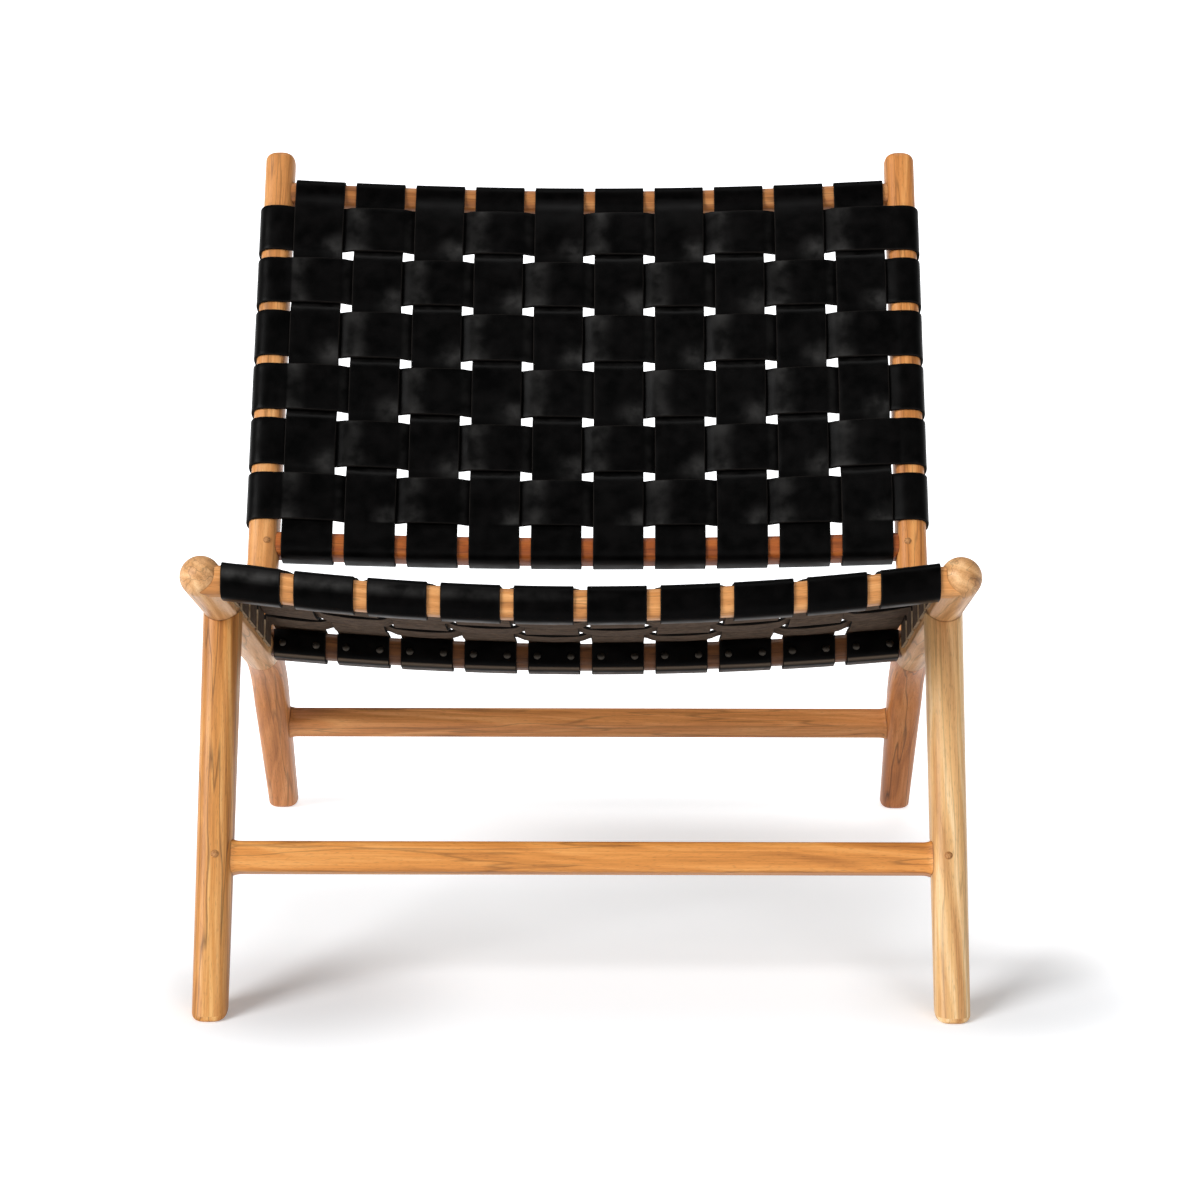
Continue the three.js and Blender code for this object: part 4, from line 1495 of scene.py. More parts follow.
@dataclass
class Weaver:
    """The straps of a panel, woven over and under each other.

    Lengths are in millimetres, and angles go round a rail or post from the panel's far side. The painted
    sheens on the crossings and the dives are given as a middle and a width, in shares of half a crossing or
    half a strap's width.
    """

    panel: Panel
    sizes: Sizes
    leathers: dict[Zone, Material]
    row_step: float = 2.4
    path_step: float = 0.5
    turn_step: float = 2.5
    rail_start: float = 315.0
    face_angle: float = 90.0
    post_start: float = 315.0
    post_end: float = 67.5
    crown: float = 1.1
    long_softness: float = 1.2
    seat_softness: float = 0.9
    back_softness: float = 1.4
    sharp_angle: float = 50.0
    raw_length: float = 20.0
    crease_width: float = 0.7
    crossing_reach: float = 1.3
    # Painted sheen on the crossings and painted light where straps dive; the sheen_* sizes place a painted
    # sheen band on the front faces.
    long_sheen: Pair = (-0.85, 0.45)
    long_sheen_side: Pair = (0.8, 0.6)
    cross_rub: Pair = (-0.8, 0.4)
    cross_rub_middle: float = 0.35
    sheen_scuff: float = 1.25
    sheen_depth: float = 9.0
    sheen_height: float = 5.5
    sheen_width: float = 4.5
    sheen_fade: float = 0.15
    # How far the reflection is turned down, as painted shade, on the wraps and in the weave.
    wrap_shade_dull: float = 0.45
    weave_dull: float = 0.2
    dive_sheen: float = 0.24
    dive_sheen_spot: Pair = (1.16, 0.15)

    def __post_init__(self) -> None:
        """Works out the section that all the straps share."""
        self.across, self.height, self.zones = strap_outline(self.sizes)

    def build(self) -> None:
        """Makes all the panel's straps."""
        for column in range(self.sizes.long_straps):
            self.long_strap(column)
        for row in range(self.sizes.cross_straps):
            self.cross_strap(row)

    def wrap(self, centre: Array, size: Pair, power: float, start: float, end: float) -> Array:
        """Path round part of a rail or post, at mid thickness.

        Args:
            centre: middle of the section.
            size: the section's two sizes.
            power: its squareness.
            start: first angle in degrees.
            end: last angle.

        Returns:
            The path's points.
        """
        angle = np.radians(np.arange(start, end - ANGLE_SLACK, -self.turn_step))
        grow = 2 * self.sizes.strap_offset
        return centre + section_point(angle, size[0] + grow, size[1] + grow, power)

    def lift_knots(self, middles: Sequence[float], signs: Sequence[int]) -> list[Triple]:
        """Knots of a strap's way over and under the straps that it crosses.

        Stiff straps bow past each other and touch only at the corners of a crossing.

        Args:
            middles: rising middles of those straps.
            signs: 1 where it passes over and -1 where it passes under.

        Returns:
            Places, heights from the middle of the weave, and slopes.
        """
        reach = self.sizes.strap_width / 2 + self.sizes.crossing_margin
        offset = self.sizes.crossing_offset
        slope = 2 * self.crown / reach
        knots = []
        for middle, sign in zip(middles, signs):
            knots.append((middle - reach, sign * offset, sign * slope))
            knots.append((middle, sign * (offset + self.crown), 0.0))
            knots.append((middle + reach, sign * offset, -sign * slope))
        return knots

    def long_strap(self, column: int) -> None:
        """Makes a strap that runs over both rails and through the cross straps.

        Args:
            column: its number from the left.
        """
        panel, sizes = self.panel, self.sizes
        order = np.argsort(panel.rows)
        middles = panel.rows[order]
        signs = [1 if panel.column_over(column, int(row)) else -1 for row in order]
        under = -sizes.crossing_offset
        knots = [
            (panel.low.place, under, 0.0), *self.lift_knots(middles, signs), (panel.high.place, under, 0.0),
        ]
        run = np.arange(panel.low.place, panel.high.place, self.path_step)
        lift = bent(knots, run)
        size = (sizes.cross_rail, sizes.cross_rail)
        xs = panel.columns[column] + self.across
        paths = []
        for x in xs:
            low = np.array([panel.low.place, panel.low.centre(x)])
            high = np.array([panel.high.place, panel.high.centre(x)])
            paths.append(np.concatenate([
                self.wrap(low, size, RAIL_POWER, self.rail_start, self.face_angle),
                np.column_stack([run, panel.level(np.full_like(run, x), run) + lift]),
                self.wrap(high, size, panel.wrap_power, self.face_angle, panel.wrap_end),
            ]))
        name = f"{panel.word}_{panel.long_word}_strap_{column + 1:02d}"

        def place(k: int, path: Array) -> Array:
            """Points of the chair along the strap's line number k."""
            return at_width(xs[k], panel.place(path[:, 0], path[:, 1]))

        def marks(k: int, path: Array) -> tuple[Array, Array, Array]:
            """Marks along a line of the strap.

            Args:
                k: the line's number.
                path: its path.

            Returns:
                Shade_dull, scuff and crease at each point.
            """
            lift = path[:, 1] - panel.level(np.full(len(path), xs[k]), path[:, 0])
            tuck, over = self.crossing(path[:, 0], lift, middles, signs)
            side = self.across[k] / sizes.strap_width * 2
            # Painted sheen near the start of each crossing that the strap lies over, and painted light on
            # its far slope where it dives.
            glint = bump(over, *self.long_sheen) * bump(side, *self.long_sheen_side)
            scuff = np.maximum(glint, self.dive(over))
            # Over the top back rail its reflection is turned down, as painted shade.
            if not panel.is_seat:
                past = (path[:, 0] - panel.high.place) / sizes.cross_rail + 0.5
                return np.maximum(tuck, np.clip(past * 2, 0, self.wrap_shade_dull)), scuff, np.zeros(len(path))
            # On the front faces over the front seat rail: a painted sheen band near the top, strongest on
            # the left straps, which face the key light, and the reflection turned down elsewhere, as
            # painted shade.
            past = np.maximum(path[:, 0] - panel.low.place + self.sheen_depth, 0)
            front = bump(past, 0.0, self.sheen_width)
            band = bump(path[:, 1] - panel.low.centre(xs[k]), self.sheen_height, self.sheen_width)
            lit = np.clip(self.sheen_fade - xs[k] / sizes.half, 0, 1)
            scuff = np.maximum(scuff, self.sheen_scuff * lit * front * band)
            tuck = np.maximum(tuck, self.wrap_shade_dull * front * (1 - lit * band))
            # A light line along the fold round the rear seat rail's lower front arris: partly wear, partly
            # a painted highlight.
            corner = np.array([panel.high.place, panel.high.centre(xs[k])]) - sizes.cross_rail / 2
            away = np.linalg.norm(path - corner, axis=1)
            return tuck, scuff, np.clip(1 - (away - away.min()) / self.crease_width, 0, 1)

        self.strap(name, paths, place, marks, self.long_softness)

    def cross_strap(self, row: int) -> None:
        """Makes a strap that runs from side to side through the long straps.

        Args:
            row: its number in the panel.
        """
        panel, sizes = self.panel, self.sizes
        signs = [-1 if panel.column_over(column, row) else 1 for column in range(sizes.long_straps)]
        alongs = panel.rows[row] + self.across
        build = self.seat_cross_path if panel.is_seat else self.back_cross_path
        paths = [build(along, signs) for along in alongs]
        name = f"{panel.word}_cross_strap_{row + 1:02d}"

        def place(k: int, path: Array) -> Array:
            """Points of the chair along the strap's line number k."""
            return at_width(path[:, 0], panel.place(np.full(len(path), alongs[k]), path[:, 1]))

        def marks(k: int, path: Array) -> tuple[Array, Array, Array]:
            """Marks along a line of the strap.

            Args:
                k: the line's number.
                path: its path.

            Returns:
                Shade_dull, scuff and crease at each point.
            """
            lift = path[:, 1] - panel.level(path[:, 0], np.full(len(path), alongs[k]))
            tuck, over = self.crossing(path[:, 0], lift, panel.columns, signs)
            side = self.across[k] / sizes.strap_width * 2
            # Painted sheen near the start of each crossing that the strap lies over, and painted light
            # where it dives.
            glint = bump(over, *self.cross_rub) * mix(self.cross_rub_middle, 1.0, side ** 2)
            return tuck, np.maximum(glint, self.dive(over)), np.zeros(len(path))

        softness = self.seat_softness if panel.is_seat else self.back_softness
        self.strap(name, paths, place, marks, softness, panel.is_seat)

    def dive(self, over: Array) -> Array:
        """Painted light where a strap leaves a crossing, on its far slope, which faces away from the key
        light; see crossing.
        """
        return self.dive_sheen * bump(over, *self.dive_sheen_spot)

    def crossing(
        self, at: Array, lift: Array, middles: Sequence[float], signs: Sequence[int],
    ) -> tuple[Array, Array]:
        """Where a strap's points are in the weave.

        Args:
            at: their places along it.
            lift: their heights from the middle of the weave.
            middles: middles of the straps that it crosses.
            signs: 1 where it passes over and -1 where it passes under.

        Returns:
            How far its reflection is turned down as painted shade, from 0 on top to weave_dull where it
            is under, and its place on the crossing that it is on top of, from -1 at its start to 1 at its
            end, or NO_CROSSING.
        """
        reach = self.sizes.strap_width / 2 + self.sizes.crossing_margin
        offset = self.sizes.crossing_offset
        inside = (at > min(middles) - reach) & (at < max(middles) + reach)
        inside &= np.abs(lift) < 2 * offset + self.crown
        # Painted shade: the reflection is turned down where the strap dives under another.
        tuck = np.where(inside, np.clip(1 - lift / offset, 0, 1), 0.0) * self.weave_dull
        over = np.full(len(at), NO_CROSSING)
        for middle, sign in zip(middles, signs):
            here = (at - middle) / reach
            over = np.where(inside & (sign > 0) & (np.abs(here) < self.crossing_reach), here, over)
        return tuck, over

    def woven(self, along: float, signs: Sequence[int], limit: float) -> Array:
        """The woven stretch of a cross strap's line.

        Args:
            along: the line's place in the panel.
            signs: 1 over and -1 under each long strap.
            limit: greatest X of the stretch.

        Returns:
            Its points, as X and height.
        """
        panel = self.panel
        x = np.arange(-limit, limit + self.path_step / 2, self.path_step)
        lift = bent(self.lift_knots(panel.columns, signs), x)
        return np.column_stack([x, panel.level(x, np.full_like(x, along)) + lift])

    def seat_cross_path(self, along: float, signs: Sequence[int]) -> Array:
        """Line of a seat's cross strap, whose ends turn down on the flats of the side rails.

        Args:
            along: the line's place in the seat.
            signs: 1 over and -1 under each long strap.

        Returns:
            Its points, as X and height.
        """
        sizes = self.sizes
        end_x = sizes.bow_reach + sizes.strap_flat_inset - sizes.strap_offset
        radius = sizes.turn_radius
        middle = self.woven(along, signs, end_x - radius)

        def turn(height: float) -> Array:
            """The strap's left end.

            Args:
                height: height of the weave there.

            Returns:
                Points from the end up to the weave.
            """
            angle = np.radians(np.arange(180, 90, -10))
            bend = np.column_stack([np.cos(angle), np.sin(angle)]) * radius
            foot = np.array([[-end_x, -sizes.turn_down_depth]])
            return np.concatenate([foot, bend + (radius - end_x, height - radius)])

        left = turn(middle[0, 1])
        right = turn(middle[-1, 1])[::-1] * (-1, 1)
        return np.concatenate([left, middle, right])

    def back_cross_path(self, along: float, signs: Sequence[int]) -> Array:
        """Line of a back's cross strap, whose ends go round the posts.

        Args:
            along: the line's place in the back.
            signs: 1 over and -1 under each long strap.

        Returns:
            Its points, as X and height.
        """
        sizes = self.sizes
        size = (sizes.post_width, sizes.post_depth)
        centre = np.array([-sizes.half, 0.0])
        left = self.wrap(centre, size, POST_POWER, self.post_start, self.post_end)
        limit = self.panel.columns[-1] + sizes.strap_width / 2 + sizes.crossing_margin
        middle = self.woven(along, signs, limit)
        return np.concatenate([left, middle, left[::-1] * (-1, 1)])

    def strap(
        self, name: str, paths: Sequence[Array], place: Callable[[int, Array], Array], marks: Callable,
        softness: float, raw_ends: bool = False,
    ) -> None:
        """Writes a strap's mesh from the lines of its section.

        Its bend attribute is how far its surface turns in a millimetre, in radians. Its tuck, scuff
        and crease attributes rise from 0: where its reflection is turned down as painted shade, where a
        sheen is painted on, and along the fold that carries a light line that is partly a painted
        highlight.

        Args:
            name: the node that it stands for.
            paths: a path for each point of the section.
            place: gives the chair's points of a line from its number and its path.
            marks: gives tuck, scuff and crease along a line from the same.
            softness: radius of the rounding of its bends.
            raw_ends: whether its edges are left undyed near its ends.
        """
        length = float(np.hypot(*np.diff(paths[len(paths) // 3], axis=0).T).sum())
        rows = int(length / self.row_step)
        lines, values = [], []
        for k, path in enumerate(paths):
            even = smooth_path(path, rows, softness)
            normals = left_normals(even)
            lines.append(place(k, even + normals * self.height[k]))
            turn = np.linalg.norm(np.gradient(normals, axis=0), axis=1)
            values.append((turn / (length / rows), *marks(k, even)))
        mesh = tube_mesh(f"{name}_leather", np.stack(lines, axis=1))
        zones = np.tile([zone.value for zone in self.zones], (rows - 1, 1))
        if raw_ends:
            near = int(self.raw_length / self.row_step)
            for part in (zones[:near], zones[-near:]):
                part[part == Zone.EDGE.value] = Zone.END.value
        mesh.polygons.foreach_set("material_index", zones.ravel().tolist() + [Zone.END.value] * 2)
        for label, marked in zip(("bend", "tuck", "scuff", "crease"), np.transpose(values, (1, 2, 0))):
            store(mesh, label, marked.ravel())
        finishes = [self.leathers[zone] for zone in Zone]
        piece = finish_mesh(f"{name}_leather", mesh, finishes, self.sharp_angle)
        place_piece(piece, [name])


def contact(rail: CrossRail, sizes: Sizes) -> float:
    """Height of the middle of the weave where its lower straps lie on a rail."""
    return rail.rise + sizes.cross_rail / 2 + sizes.strap_offset + sizes.crossing_offset


def seat_panel(sizes: Sizes, view: SideView) -> Panel:
    """The seat: straight between its rails in the middle, and drawn up beside the side rails.

    Args:
        sizes: the chair's sizes.
        view: its side view.

    Returns:
        The panel.
    """
    reach = sizes.bow_reach - sizes.seat_edge_gap - sizes.strap_width / 2

    def level(x: Array, along: Array) -> Array:
        """Height of the middle of the weave.

        Args:
            x: distances from the middle of the chair.
            along: distances along the side rails.

        Returns:
            Heights above the side rails' centre lines.
        """
        share = (along - FRONT_RAIL.place) / (REAR_RAIL.place - FRONT_RAIL.place)
        belly = np.sin(np.pi * share)
        dip = mix(FRONT_RAIL.bow, REAR_RAIL.bow, share) + sizes.seat_sag * belly
        base = mix(contact(FRONT_RAIL, sizes), contact(REAR_RAIL, sizes), share)
        return base + sizes.seat_edge_lift * belly * (1 - bow_share(x)) - dip * bow_share(x)

    return Panel(
        word="seat", long_word="long", low=FRONT_RAIL, high=REAR_RAIL, rows=seat_rows(sizes),
        columns=np.linspace(-reach, reach, sizes.long_straps), wrap_end=-212.0,
        wrap_power=CREASED_POWER, odd_over=True, place=view.seat, level=level,
    )


def back_panel(sizes: Sizes, view: SideView) -> Panel:
    """The back: set back in the middle, further low down than high up.

    Args:
        sizes: the chair's sizes.
        view: its side view.

    Returns:
        The panel.
    """
    reach = sizes.half - sizes.post_width / 2 - sizes.back_edge_gap - sizes.strap_width / 2
    half_cover = sizes.cross_rail / 2 + sizes.strap_width / 2
    first = TOP_RAIL.place - half_cover - sizes.back_top_gap
    last = LOWER_RAIL.place + half_cover + sizes.back_bottom_gap

    def level(x: Array, up: Array) -> Array:
        """Height of the middle of the weave.

        Args:
            x: distances from the middle of the chair.
            up: distances up the posts.

        Returns:
            Distances ahead of the posts' centre lines.
        """
        share = (up - LOWER_RAIL.place) / (TOP_RAIL.place - LOWER_RAIL.place)
        slump = sizes.back_slump * np.sin(np.pi * (2 * share - 1))
        dip = mix(LOWER_RAIL.bow, TOP_RAIL.bow, share) - slump
        return mix(contact(LOWER_RAIL, sizes), contact(TOP_RAIL, sizes), share) - dip * bow_share(x)

    return Panel(
        word="back", long_word="upright", low=LOWER_RAIL, high=TOP_RAIL,
        rows=np.linspace(first, last, sizes.cross_straps),
        columns=np.linspace(-reach, reach, sizes.long_straps), wrap_end=-135.0,
        wrap_power=RAIL_POWER, odd_over=False, place=view.back, level=level,
    )


# Fasteners


@dataclass
class Fasteners:
    """Wooden pegs through the joints and screws through the strap ends, set out on points."""

    sizes: Sizes
    view: SideView
    seat: Panel
    screw_diameter: float = 9.0
    screw_height: float = 2.4
    screw_spread: float = 16.5
    screw_rise: float = -1.2
    screw_swell: float = 0.54
    screw_taper: float = 0.74
    screw_sides: int = 12
    peg_sides: int = 32

    def build(self, steel: Material, teak: Material) -> None:
        """Makes the screws and the pegs.

        Args:
            steel: the screws' finish.
            teak: the pegs' finish.
        """
        points, out = self.rear_rail_screws()
        sizes = {"Diameter": self.screw_diameter * MM, "Height": self.screw_height * MM}
        place_piece(self.set_out("strap_screws", points, out, self.screw_tree(steel), sizes))
        points, out = self.peg_faces()
        sizes = {"Diameter": self.sizes.peg_diameter * MM, "Length": self.sizes.peg_length * MM}
        nodes = [f"{side.word}_{name}" for name in ("stretcher_peg", "rail_peg") for side in Side]
        place_piece(self.set_out("pegs", points, out, self.peg_tree(teak), sizes), nodes)

    def rear_rail_screws(self) -> tuple[Array, Array]:
        """Places and directions of the screws on the front of the rear seat rail.

        Returns:
            Points on the leather and unit vectors out of it.
        """
        sizes, rail = self.sizes, REAR_RAIL
        x = np.concatenate([self.seat.columns - self.screw_spread, self.seat.columns + self.screw_spread])
        face = rail.place - sizes.cross_rail / 2 - sizes.fit - sizes.leather
        places = self.view.seat(np.full_like(x, face), rail.centre(x) + self.screw_rise)
        out = at_width(np.zeros(len(x)), np.tile(-self.view.along_rail, (len(x), 1)))
        return at_width(x, places), out

    def peg_faces(self) -> tuple[Array, Array]:
        """Places and directions of the pegs' faces.

        Returns:
            Points at the middle of each face and unit vectors out of it.
        """
        sizes, view = self.sizes, self.view
        share = sizes.front_stretcher_level / view.front_leg_top[1]
        depth = mix(sizes.front_foot[1], sizes.front_leg_top[1], share) / 2 + sizes.peg_proud
        leg = view.leg_at(view.front_foot, view.up_front_leg, sizes.front_stretcher_level)
        post = view.back(LOWER_RAIL.place, sizes.post_depth / 2 + sizes.peg_proud)
        points, out = [], []
        for place, inset, ahead in (
            (leg + view.ahead_front_leg * depth, sizes.stretcher_peg_inset, view.ahead_front_leg),
            (post, sizes.rail_peg_inset, view.ahead_post),
        ):
            for side in Side:
                points.append([side.value * (sizes.half - inset), *place])
                out.append([0.0, *ahead])
        return np.array(points), np.array(out)

    def set_out(
        self, name: str, points: Array, out: Array, tree: Tree, sizes: dict[str, float],
    ) -> Piece:
        """Puts a fastener on each point, and makes the result a plain mesh.

        Args:
            name: the piece's name.
            points: where the fasteners go.
            out: the way that they face.
            tree: the tree that makes them.
            sizes: the tree's sizes by name.

        Returns:
            The piece.
        """
        mesh = bpy.data.meshes.new(f"{name}_points")
        mesh.from_pydata((points * MM).tolist(), [], [])
        store(mesh, "facing", out)
        holder = add_object(f"{name}_points", mesh)
        modifier = holder.modifiers.new("set_out", "NODES")
        modifier.node_group = tree
        for socket in tree.interface.items_tree:
            if socket.name in sizes:
                modifier[socket.identifier] = sizes[socket.name]
        shown = holder.evaluated_get(bpy.context.evaluated_depsgraph_get())
        made = bpy.data.meshes.new_from_object(shown)
        holder.modifiers.remove(modifier)
        bpy.data.objects.remove(holder)
        made.name = name
        return add_object(name, made)

    def fastener_tree(self, name: str, sizes: Sequence[str]) -> tuple[Tree, Node]:
        """Starts a tree with named sizes.

        Args:
            name: the tree's name.
            sizes: names of its sizes.

        Returns:
            The tree and its input node.
        """
        tree = bpy.data.node_groups.new(name, "GeometryNodeTree")
        tree.interface.new_socket("Geometry", in_out="INPUT", socket_type="NodeSocketGeometry")
        for size in sizes:
            tree.interface.new_socket(size, in_out="INPUT", socket_type="NodeSocketFloat")
        tree.interface.new_socket("Geometry", in_out="OUTPUT", socket_type="NodeSocketGeometry")
        return tree, add_node(tree, "NodeGroupInput")

    def finish_tree(
        self, tree: Tree, points: Any, shape: Any, material: Material,
    ) -> Tree:
        """Ends a tree: one shape on each point, facing the point's way, with its finish.

        Args:
            tree: the tree.
            points: socket of the points.
            shape: socket of the shape, which stands along +Z.
            material: its finish.

        Returns:
            The tree.
        """
        facing = add_node(
            tree, "GeometryNodeInputNamedAttribute", {"Name": "facing"}, data_type="FLOAT_VECTOR",
        ).outputs[0]
        turn = add_node(tree, "FunctionNodeAlignRotationToVector", {"Vector": facing}, axis="Z").outputs[0]
        copies = add_node(
            tree, "GeometryNodeInstanceOnPoints", {"Points": points, "Instance": shape, "Rotation": turn},
        ).outputs[0]
        real = add_node(tree, "GeometryNodeRealizeInstances", {0: copies}).outputs[0]
        smooth = add_node(tree, "GeometryNodeSetShadeSmooth", {0: real}).outputs[0]
        dressed = add_node(tree, "GeometryNodeSetMaterial", {"Geometry": smooth, "Material": material})
        add_node(tree, "NodeGroupOutput", {0: dressed.outputs[0]})
        return tree

    def screw_tree(self, material: Material) -> Tree:
        """Tree of a round screw head.

        Args:
            material: its finish.

        Returns:
            The tree, with the sizes Diameter and Height.
        """
        tree, start = self.fastener_tree("screw_heads", ["Diameter", "Height"])
        swell = (start.outputs["Diameter"], self.screw_swell)
        radius = add_node(tree, "ShaderNodeMath", swell, operation="MULTIPLY").outputs[0]
        top = add_node(tree, "ShaderNodeMath", (radius, self.screw_taper), operation="MULTIPLY").outputs[0]
        cone = add_node(tree, "GeometryNodeMeshCone", {
            "Vertices": self.screw_sides,
            "Radius Top": top,
            "Radius Bottom": radius,
            "Depth": start.outputs["Height"],
        }).outputs["Mesh"]
        head = add_node(tree, "GeometryNodeSubdivisionSurface", {"Mesh": cone, "Level": 1}).outputs[0]
        return self.finish_tree(tree, start.outputs["Geometry"], head, material)

    def peg_tree(self, material: Material) -> Tree:
        """Tree of a round peg, whose face is at its point.

        Args:
            material: its finish.

        Returns:
            The tree, with the sizes Diameter and Length.
        """
        tree, start = self.fastener_tree("joint_pegs", ["Diameter", "Length"])
        diameter, length = start.outputs["Diameter"], start.outputs["Length"]
        radius = add_node(tree, "ShaderNodeMath", (diameter, 0.5), operation="MULTIPLY").outputs[0]
        back = add_node(tree, "ShaderNodeMath", (length, -0.5), operation="MULTIPLY").outputs[0]
        round_bar = {"Vertices": self.peg_sides, "Radius": radius, "Depth": length}
        shaft = add_node(tree, "GeometryNodeMeshCylinder", round_bar).outputs["Mesh"]
        offset = add_node(tree, "ShaderNodeCombineXYZ", {2: back}).outputs[0]
        sunk = add_node(tree, "GeometryNodeSetPosition", {"Geometry": shaft, "Offset": offset}).outputs[0]
        return self.finish_tree(tree, start.outputs["Geometry"], sunk, material)


# Studio


@dataclass(frozen=True)
class Lamp:
    """A distant soft light.

    Its heading goes round the chair to the right from straight ahead of it, and its height is the angle
    above the floor, both in degrees. Its spread is the angle that it fills, seen from the chair.
    """

    name: str
    heading: float
    height: float
    spread: float
    strength: float

    def build(self) -> None:
        """Adds the light."""
        light = bpy.data.lights.new(self.name, "SUN")
        light.energy = self.strength
        light.angle = math.radians(self.spread)
        lamp = add_object(self.name, light)
        lamp.rotation_euler = Euler((math.radians(90 - self.height), 0.0, math.radians(self.heading)))
        lamp.location = (0.0, 0.0, LAMP_LEVEL)


LAMPS = (
    Lamp("key_light", heading=-52.0, height=31.0, spread=30.0, strength=2.4),
    Lamp("fill_light", heading=28.0, height=30.0, spread=24.0, strength=0.4),
    Lamp("top_light", heading=180.0, height=80.0, spread=30.0, strength=0.6),
)
LAMP_LEVEL = 3.0
FAR = 9.0


@dataclass
class Studio:
    """Pale floor, soft light and a camera at the photograph's angle.

    The floor's sizes are in metres. Its glow is how white it is seen beside a front foot, under the chair
    and clear of it, over the distances that foot_shade and chair_shade give. The lower glow beside the
    front feet and under the chair is painted shadow, laid over the shadows that the lamps cast.
    """

    camera_x: float = 37.7
    camera_ahead: float = 2682.7
    camera_height: float = 1017.4
    camera_pitch: float = 13.46
    camera_yaw: float = 0.446
    focal_pixels: float = 3250.0
    frame_pixels: float = 1200.0
    sensor: float = 36.0
    floor_half: float = 40.0
    floor_glow: Triple = (0.13, 0.38, 0.9)
    foot_shade: Pair = (0.04, 0.19)
    chair_shade: Pair = (0.25, 0.82)
    shade_centre: Triple = (0.0, -0.22, 0.0)
    foot_shade_offset: Triple = (0.07, 0.05, 0.0)
    floor_colour: str = "#F3F5F8"
    ceiling: float = 0.05
    wall_falloff: float = 2.0

    def build(self, view: SideView) -> None:
        """Makes the floor, the lights, the world and the camera.

        Args:
            view: the chair's side view.
        """
        self.floor()
        self.world()
        for lamp in LAMPS:
            lamp.build()
        self.camera(view)
        bpy.context.scene.view_settings.view_transform = "Standard"

    def floor(self) -> None:
        """A matt floor that the camera and shiny surfaces see as white, apart from the lamps' shadows and
        soft painted shadows.
        """
        half = self.floor_half
        corners = [(-half, -half, 0), (half, -half, 0), (half, half, 0), (-half, half, 0)]
        mesh = bpy.data.meshes.new("floor")
        mesh.from_pydata(corners, [], [(0, 1, 2, 3)])
        material, tree, shader = new_material("pale_studio_floor")
        tree.nodes.remove(shader)
        rays = add_node(tree, "ShaderNodeLightPath").outputs
        seen = rays["Is Camera Ray"]
        for ray in ("Is Glossy Ray", "Is Transmission Ray"):
            seen = add_node(tree, "ShaderNodeMath", (seen, rays[ray]), operation="MAXIMUM").outputs[0]
        white = self.whiteness(tree)
        glow = add_node(tree, "ShaderNodeMath", (seen, white), operation="MULTIPLY").outputs[0]
        matt = add_node(tree, "ShaderNodeBsdfDiffuse", {"Color": linear(self.floor_colour)}).outputs[0]
        light = add_node(tree, "ShaderNodeEmission", {"Strength": glow}).outputs[0]
        both = add_node(tree, "ShaderNodeAddShader", {0: matt, 1: light}).outputs[0]
        set_inputs(tree, tree.nodes["Material Output"], {"Surface": both})
        mesh.materials.append(material)
        add_object("floor", mesh)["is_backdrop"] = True

    def whiteness(self, tree: Tree) -> Any:
        """Adds the floor's glow, lowered under the chair and beside the front feet to paint shadows there.

        Args:
            tree: the node tree.

        Returns:
            The socket of the glow.
        """
        place = add_node(tree, "ShaderNodeTexCoord").outputs["Object"]
        at_foot, at_chair, clear = self.floor_glow
        away = add_node(tree, "ShaderNodeVectorMath", (place, self.shade_centre), operation="DISTANCE")
        nearest: Any = FAR
        for mount in frame["record"]["mounts"]:
            if "front" in mount["name"]:
                spot = tuple(np.add(mount["pos_m"], self.foot_shade_offset).tolist())
                beside = add_node(tree, "ShaderNodeVectorMath", (place, spot), operation="DISTANCE")
                inputs = (beside.outputs["Value"], nearest)
                nearest = add_node(tree, "ShaderNodeMath", inputs, operation="MINIMUM").outputs[0]
        smooth = "SMOOTHSTEP"
        under = (away.outputs["Value"], *self.chair_shade, at_chair, clear)
        white = add_node(tree, "ShaderNodeMapRange", under, interpolation_type=smooth).outputs[0]
        feet = (nearest, *self.foot_shade, at_foot, white)
        return add_node(tree, "ShaderNodeMapRange", feet, interpolation_type=smooth).outputs[0]

    def world(self) -> None:
        """A white room with a dark ceiling; the camera sees it all white."""
        world = bpy.data.worlds.new("studio")
        bpy.context.scene.world = world
        world.use_nodes = True
        tree = world.node_tree
        seen = add_node(tree, "ShaderNodeLightPath").outputs["Is Camera Ray"]
        way = add_node(tree, "ShaderNodeTexCoord").outputs["Generated"]
        up = add_node(tree, "ShaderNodeSeparateXYZ", {0: way}).outputs[2]
        low = add_node(tree, "ShaderNodeMapRange", (up, 0.0, 1.0, 1.0, 0.0)).outputs[0]
        walls = add_node(tree, "ShaderNodeMath", (low, self.wall_falloff), operation="POWER").outputs[0]
        room = add_node(tree, "ShaderNodeMapRange", (walls, 0.0, 1.0, self.ceiling, 1.0)).outputs[0]
        light = add_node(tree, "ShaderNodeMath", (seen, room), operation="MAXIMUM").outputs[0]
        white = (1.0, 1.0, 1.0, 1.0)
        set_inputs(tree, tree.nodes["Background"], {"Color": white, "Strength": light})

    def camera(self, view: SideView) -> None:
        """Adds the camera.

        Args:
            view: the chair's side view, which places the front feet.
        """
        data = bpy.data.cameras.new("photo_camera")
        data.sensor_width = self.sensor
        data.lens = self.focal_pixels / self.frame_pixels * self.sensor
        camera = add_object("photo_camera", data)
        ahead = view.front_foot[0] - self.camera_ahead
        camera.location = (self.camera_x * MM, ahead * MM, self.camera_height * MM)
        tilt = math.radians(90 - self.camera_pitch)
        camera.rotation_euler = Euler((tilt, 0.0, math.radians(self.camera_yaw)))
        bpy.context.scene.camera = camera


# Assembly


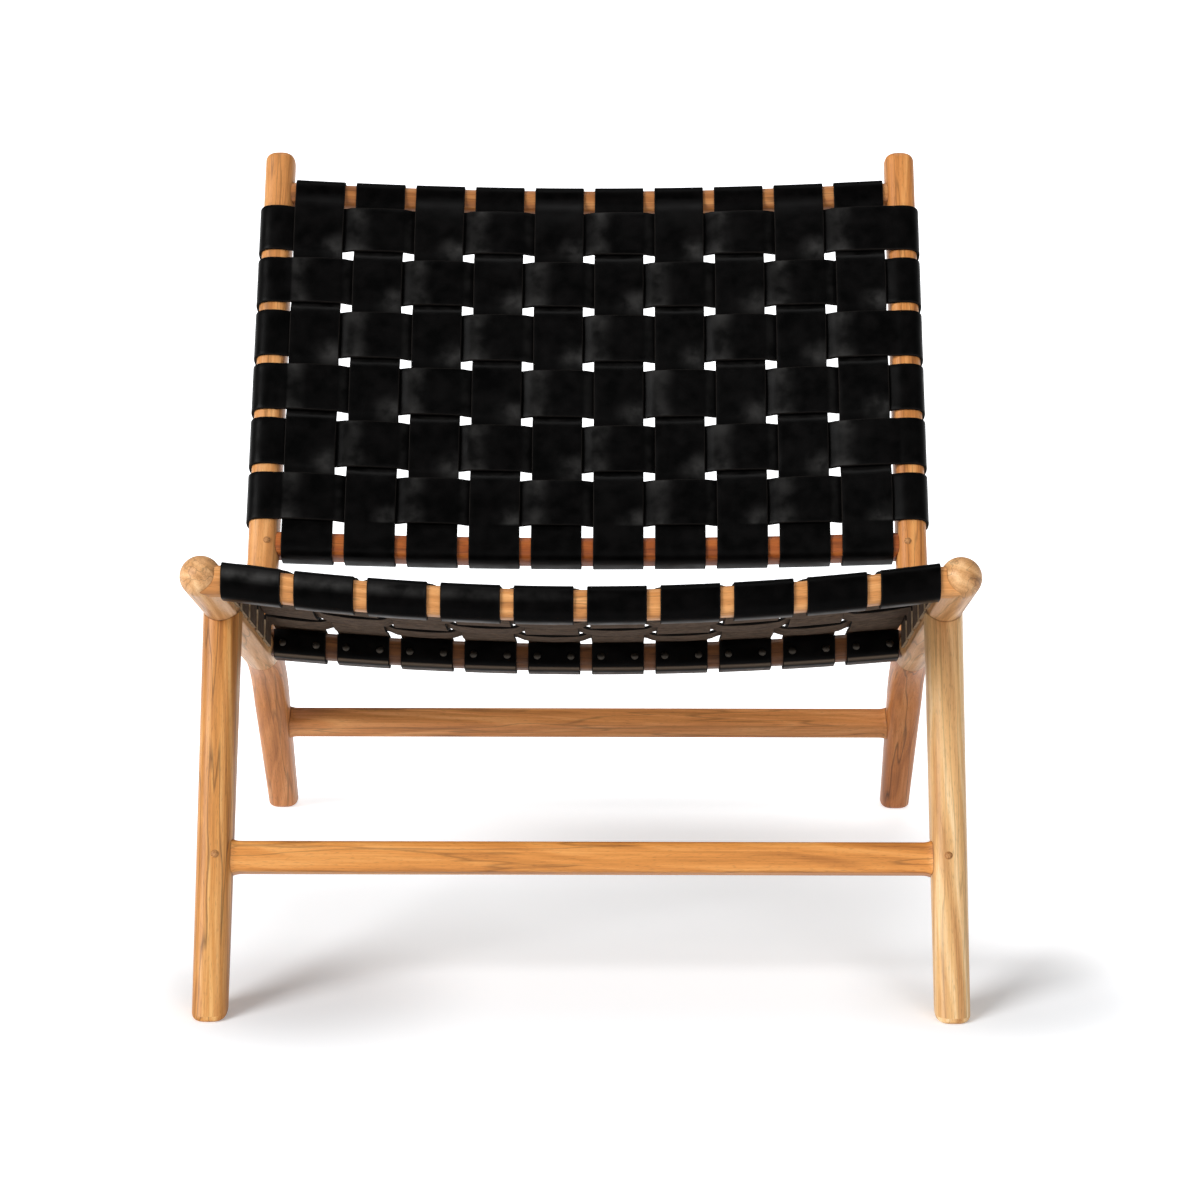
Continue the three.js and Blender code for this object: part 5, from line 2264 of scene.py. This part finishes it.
TEAKS = (
    OiledTeak("left_side_rail", "#A5703F", "#DCA46C", "#F6C893", shift=3.0),
    OiledTeak("right_side_rail", "#A06C3C", "#D49D65", "#EFC08B", shift=17.0),
    OiledTeak("left_front_leg", "#935726", "#D28F49", "#F0BC76", streak=0.45, shift=11.0),
    OiledTeak("right_front_leg", "#B98049", "#E4B478", "#F7DAAC", streak=0.72, shift=23.0),
    OiledTeak("left_rear_leg", "#985A2B", "#CB8449", "#E8A66C", shift=29.0),
    OiledTeak("right_rear_leg", "#8A4E22", "#C77C40", "#E6A264", figure=36.0, streak=0.4, shift=37.0),
    OiledTeak("left_back_post", "#A5652E", "#D69252", "#F0B475", shift=41.0),
    OiledTeak("right_back_post", "#9E5E28", "#CF8746", "#EAA864", shift=47.0),
    OiledTeak("front_seat_rail", "#A2642F", "#D28E4E", "#F0B272", shift=53.0),
    # Painted shade: the rear seat rail is given a far darker colour for the shadow under the seat.
    OiledTeak("rear_seat_rail", "#4A2A12", "#6E4220", "#85552D", shift=59.0),
    # The lower back rail's darker, redder colour is partly its own tone and partly painted shade in the
    # recesses between the straps.
    OiledTeak("lower_back_rail", "#7C3810", "#AC5922", "#C47234", shift=61.0),
    OiledTeak("top_back_rail", "#7E481F", "#AE6E38", "#C98C52", shift=67.0),
    OiledTeak("front_stretcher", "#A5642A", "#DB9045", "#F2B066", shift=5.0),
    OiledTeak("rear_stretcher", "#A0602D", "#D58D4F", "#EFAF70", shift=31.0),
)
LEATHERS = {
    Zone.GRAIN: StrapLeather(),
    Zone.FLESH: FibrousLeather("leather_flesh_side", "#3E3228", "#645345"),
    Zone.EDGE: FibrousLeather("leather_cut_edge", "#0A0807", "#171310"),
    Zone.END: FibrousLeather("leather_raw_end", "#8A775F", "#B8A488"),
}


def write_sizes() -> None:
    """Works out the box of the solids and the box of the dressed chair, but keeps neither."""
    boxes = {"cad": CAD_BOX, "visual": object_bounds()}
    {name: [list(corner) for corner in box] for name, box in boxes.items()}


def main() -> None:
    """Builds the chair and its studio."""
    logging.basicConfig(level=logging.INFO, format="%(name)s: %(message)s")
    teak = {finish.node: finish.build() for finish in TEAKS}
    leathers = {zone: leather.build() for zone, leather in LEATHERS.items()}
    for side in Side:
        SideFrame(side, SIZES, VIEW, teak).build()
    CrossMembers(SIZES, VIEW, teak).build()
    seat, back = seat_panel(SIZES, VIEW), back_panel(SIZES, VIEW)
    for panel in (seat, back):
        Weaver(panel, SIZES, leathers).build()
    Fasteners(SIZES, VIEW, seat).build(BlackenedSteel().build(), EndGrainTeak().build())
    Studio().build(VIEW)
    write_sizes()


if __name__ == "__main__":
    main()
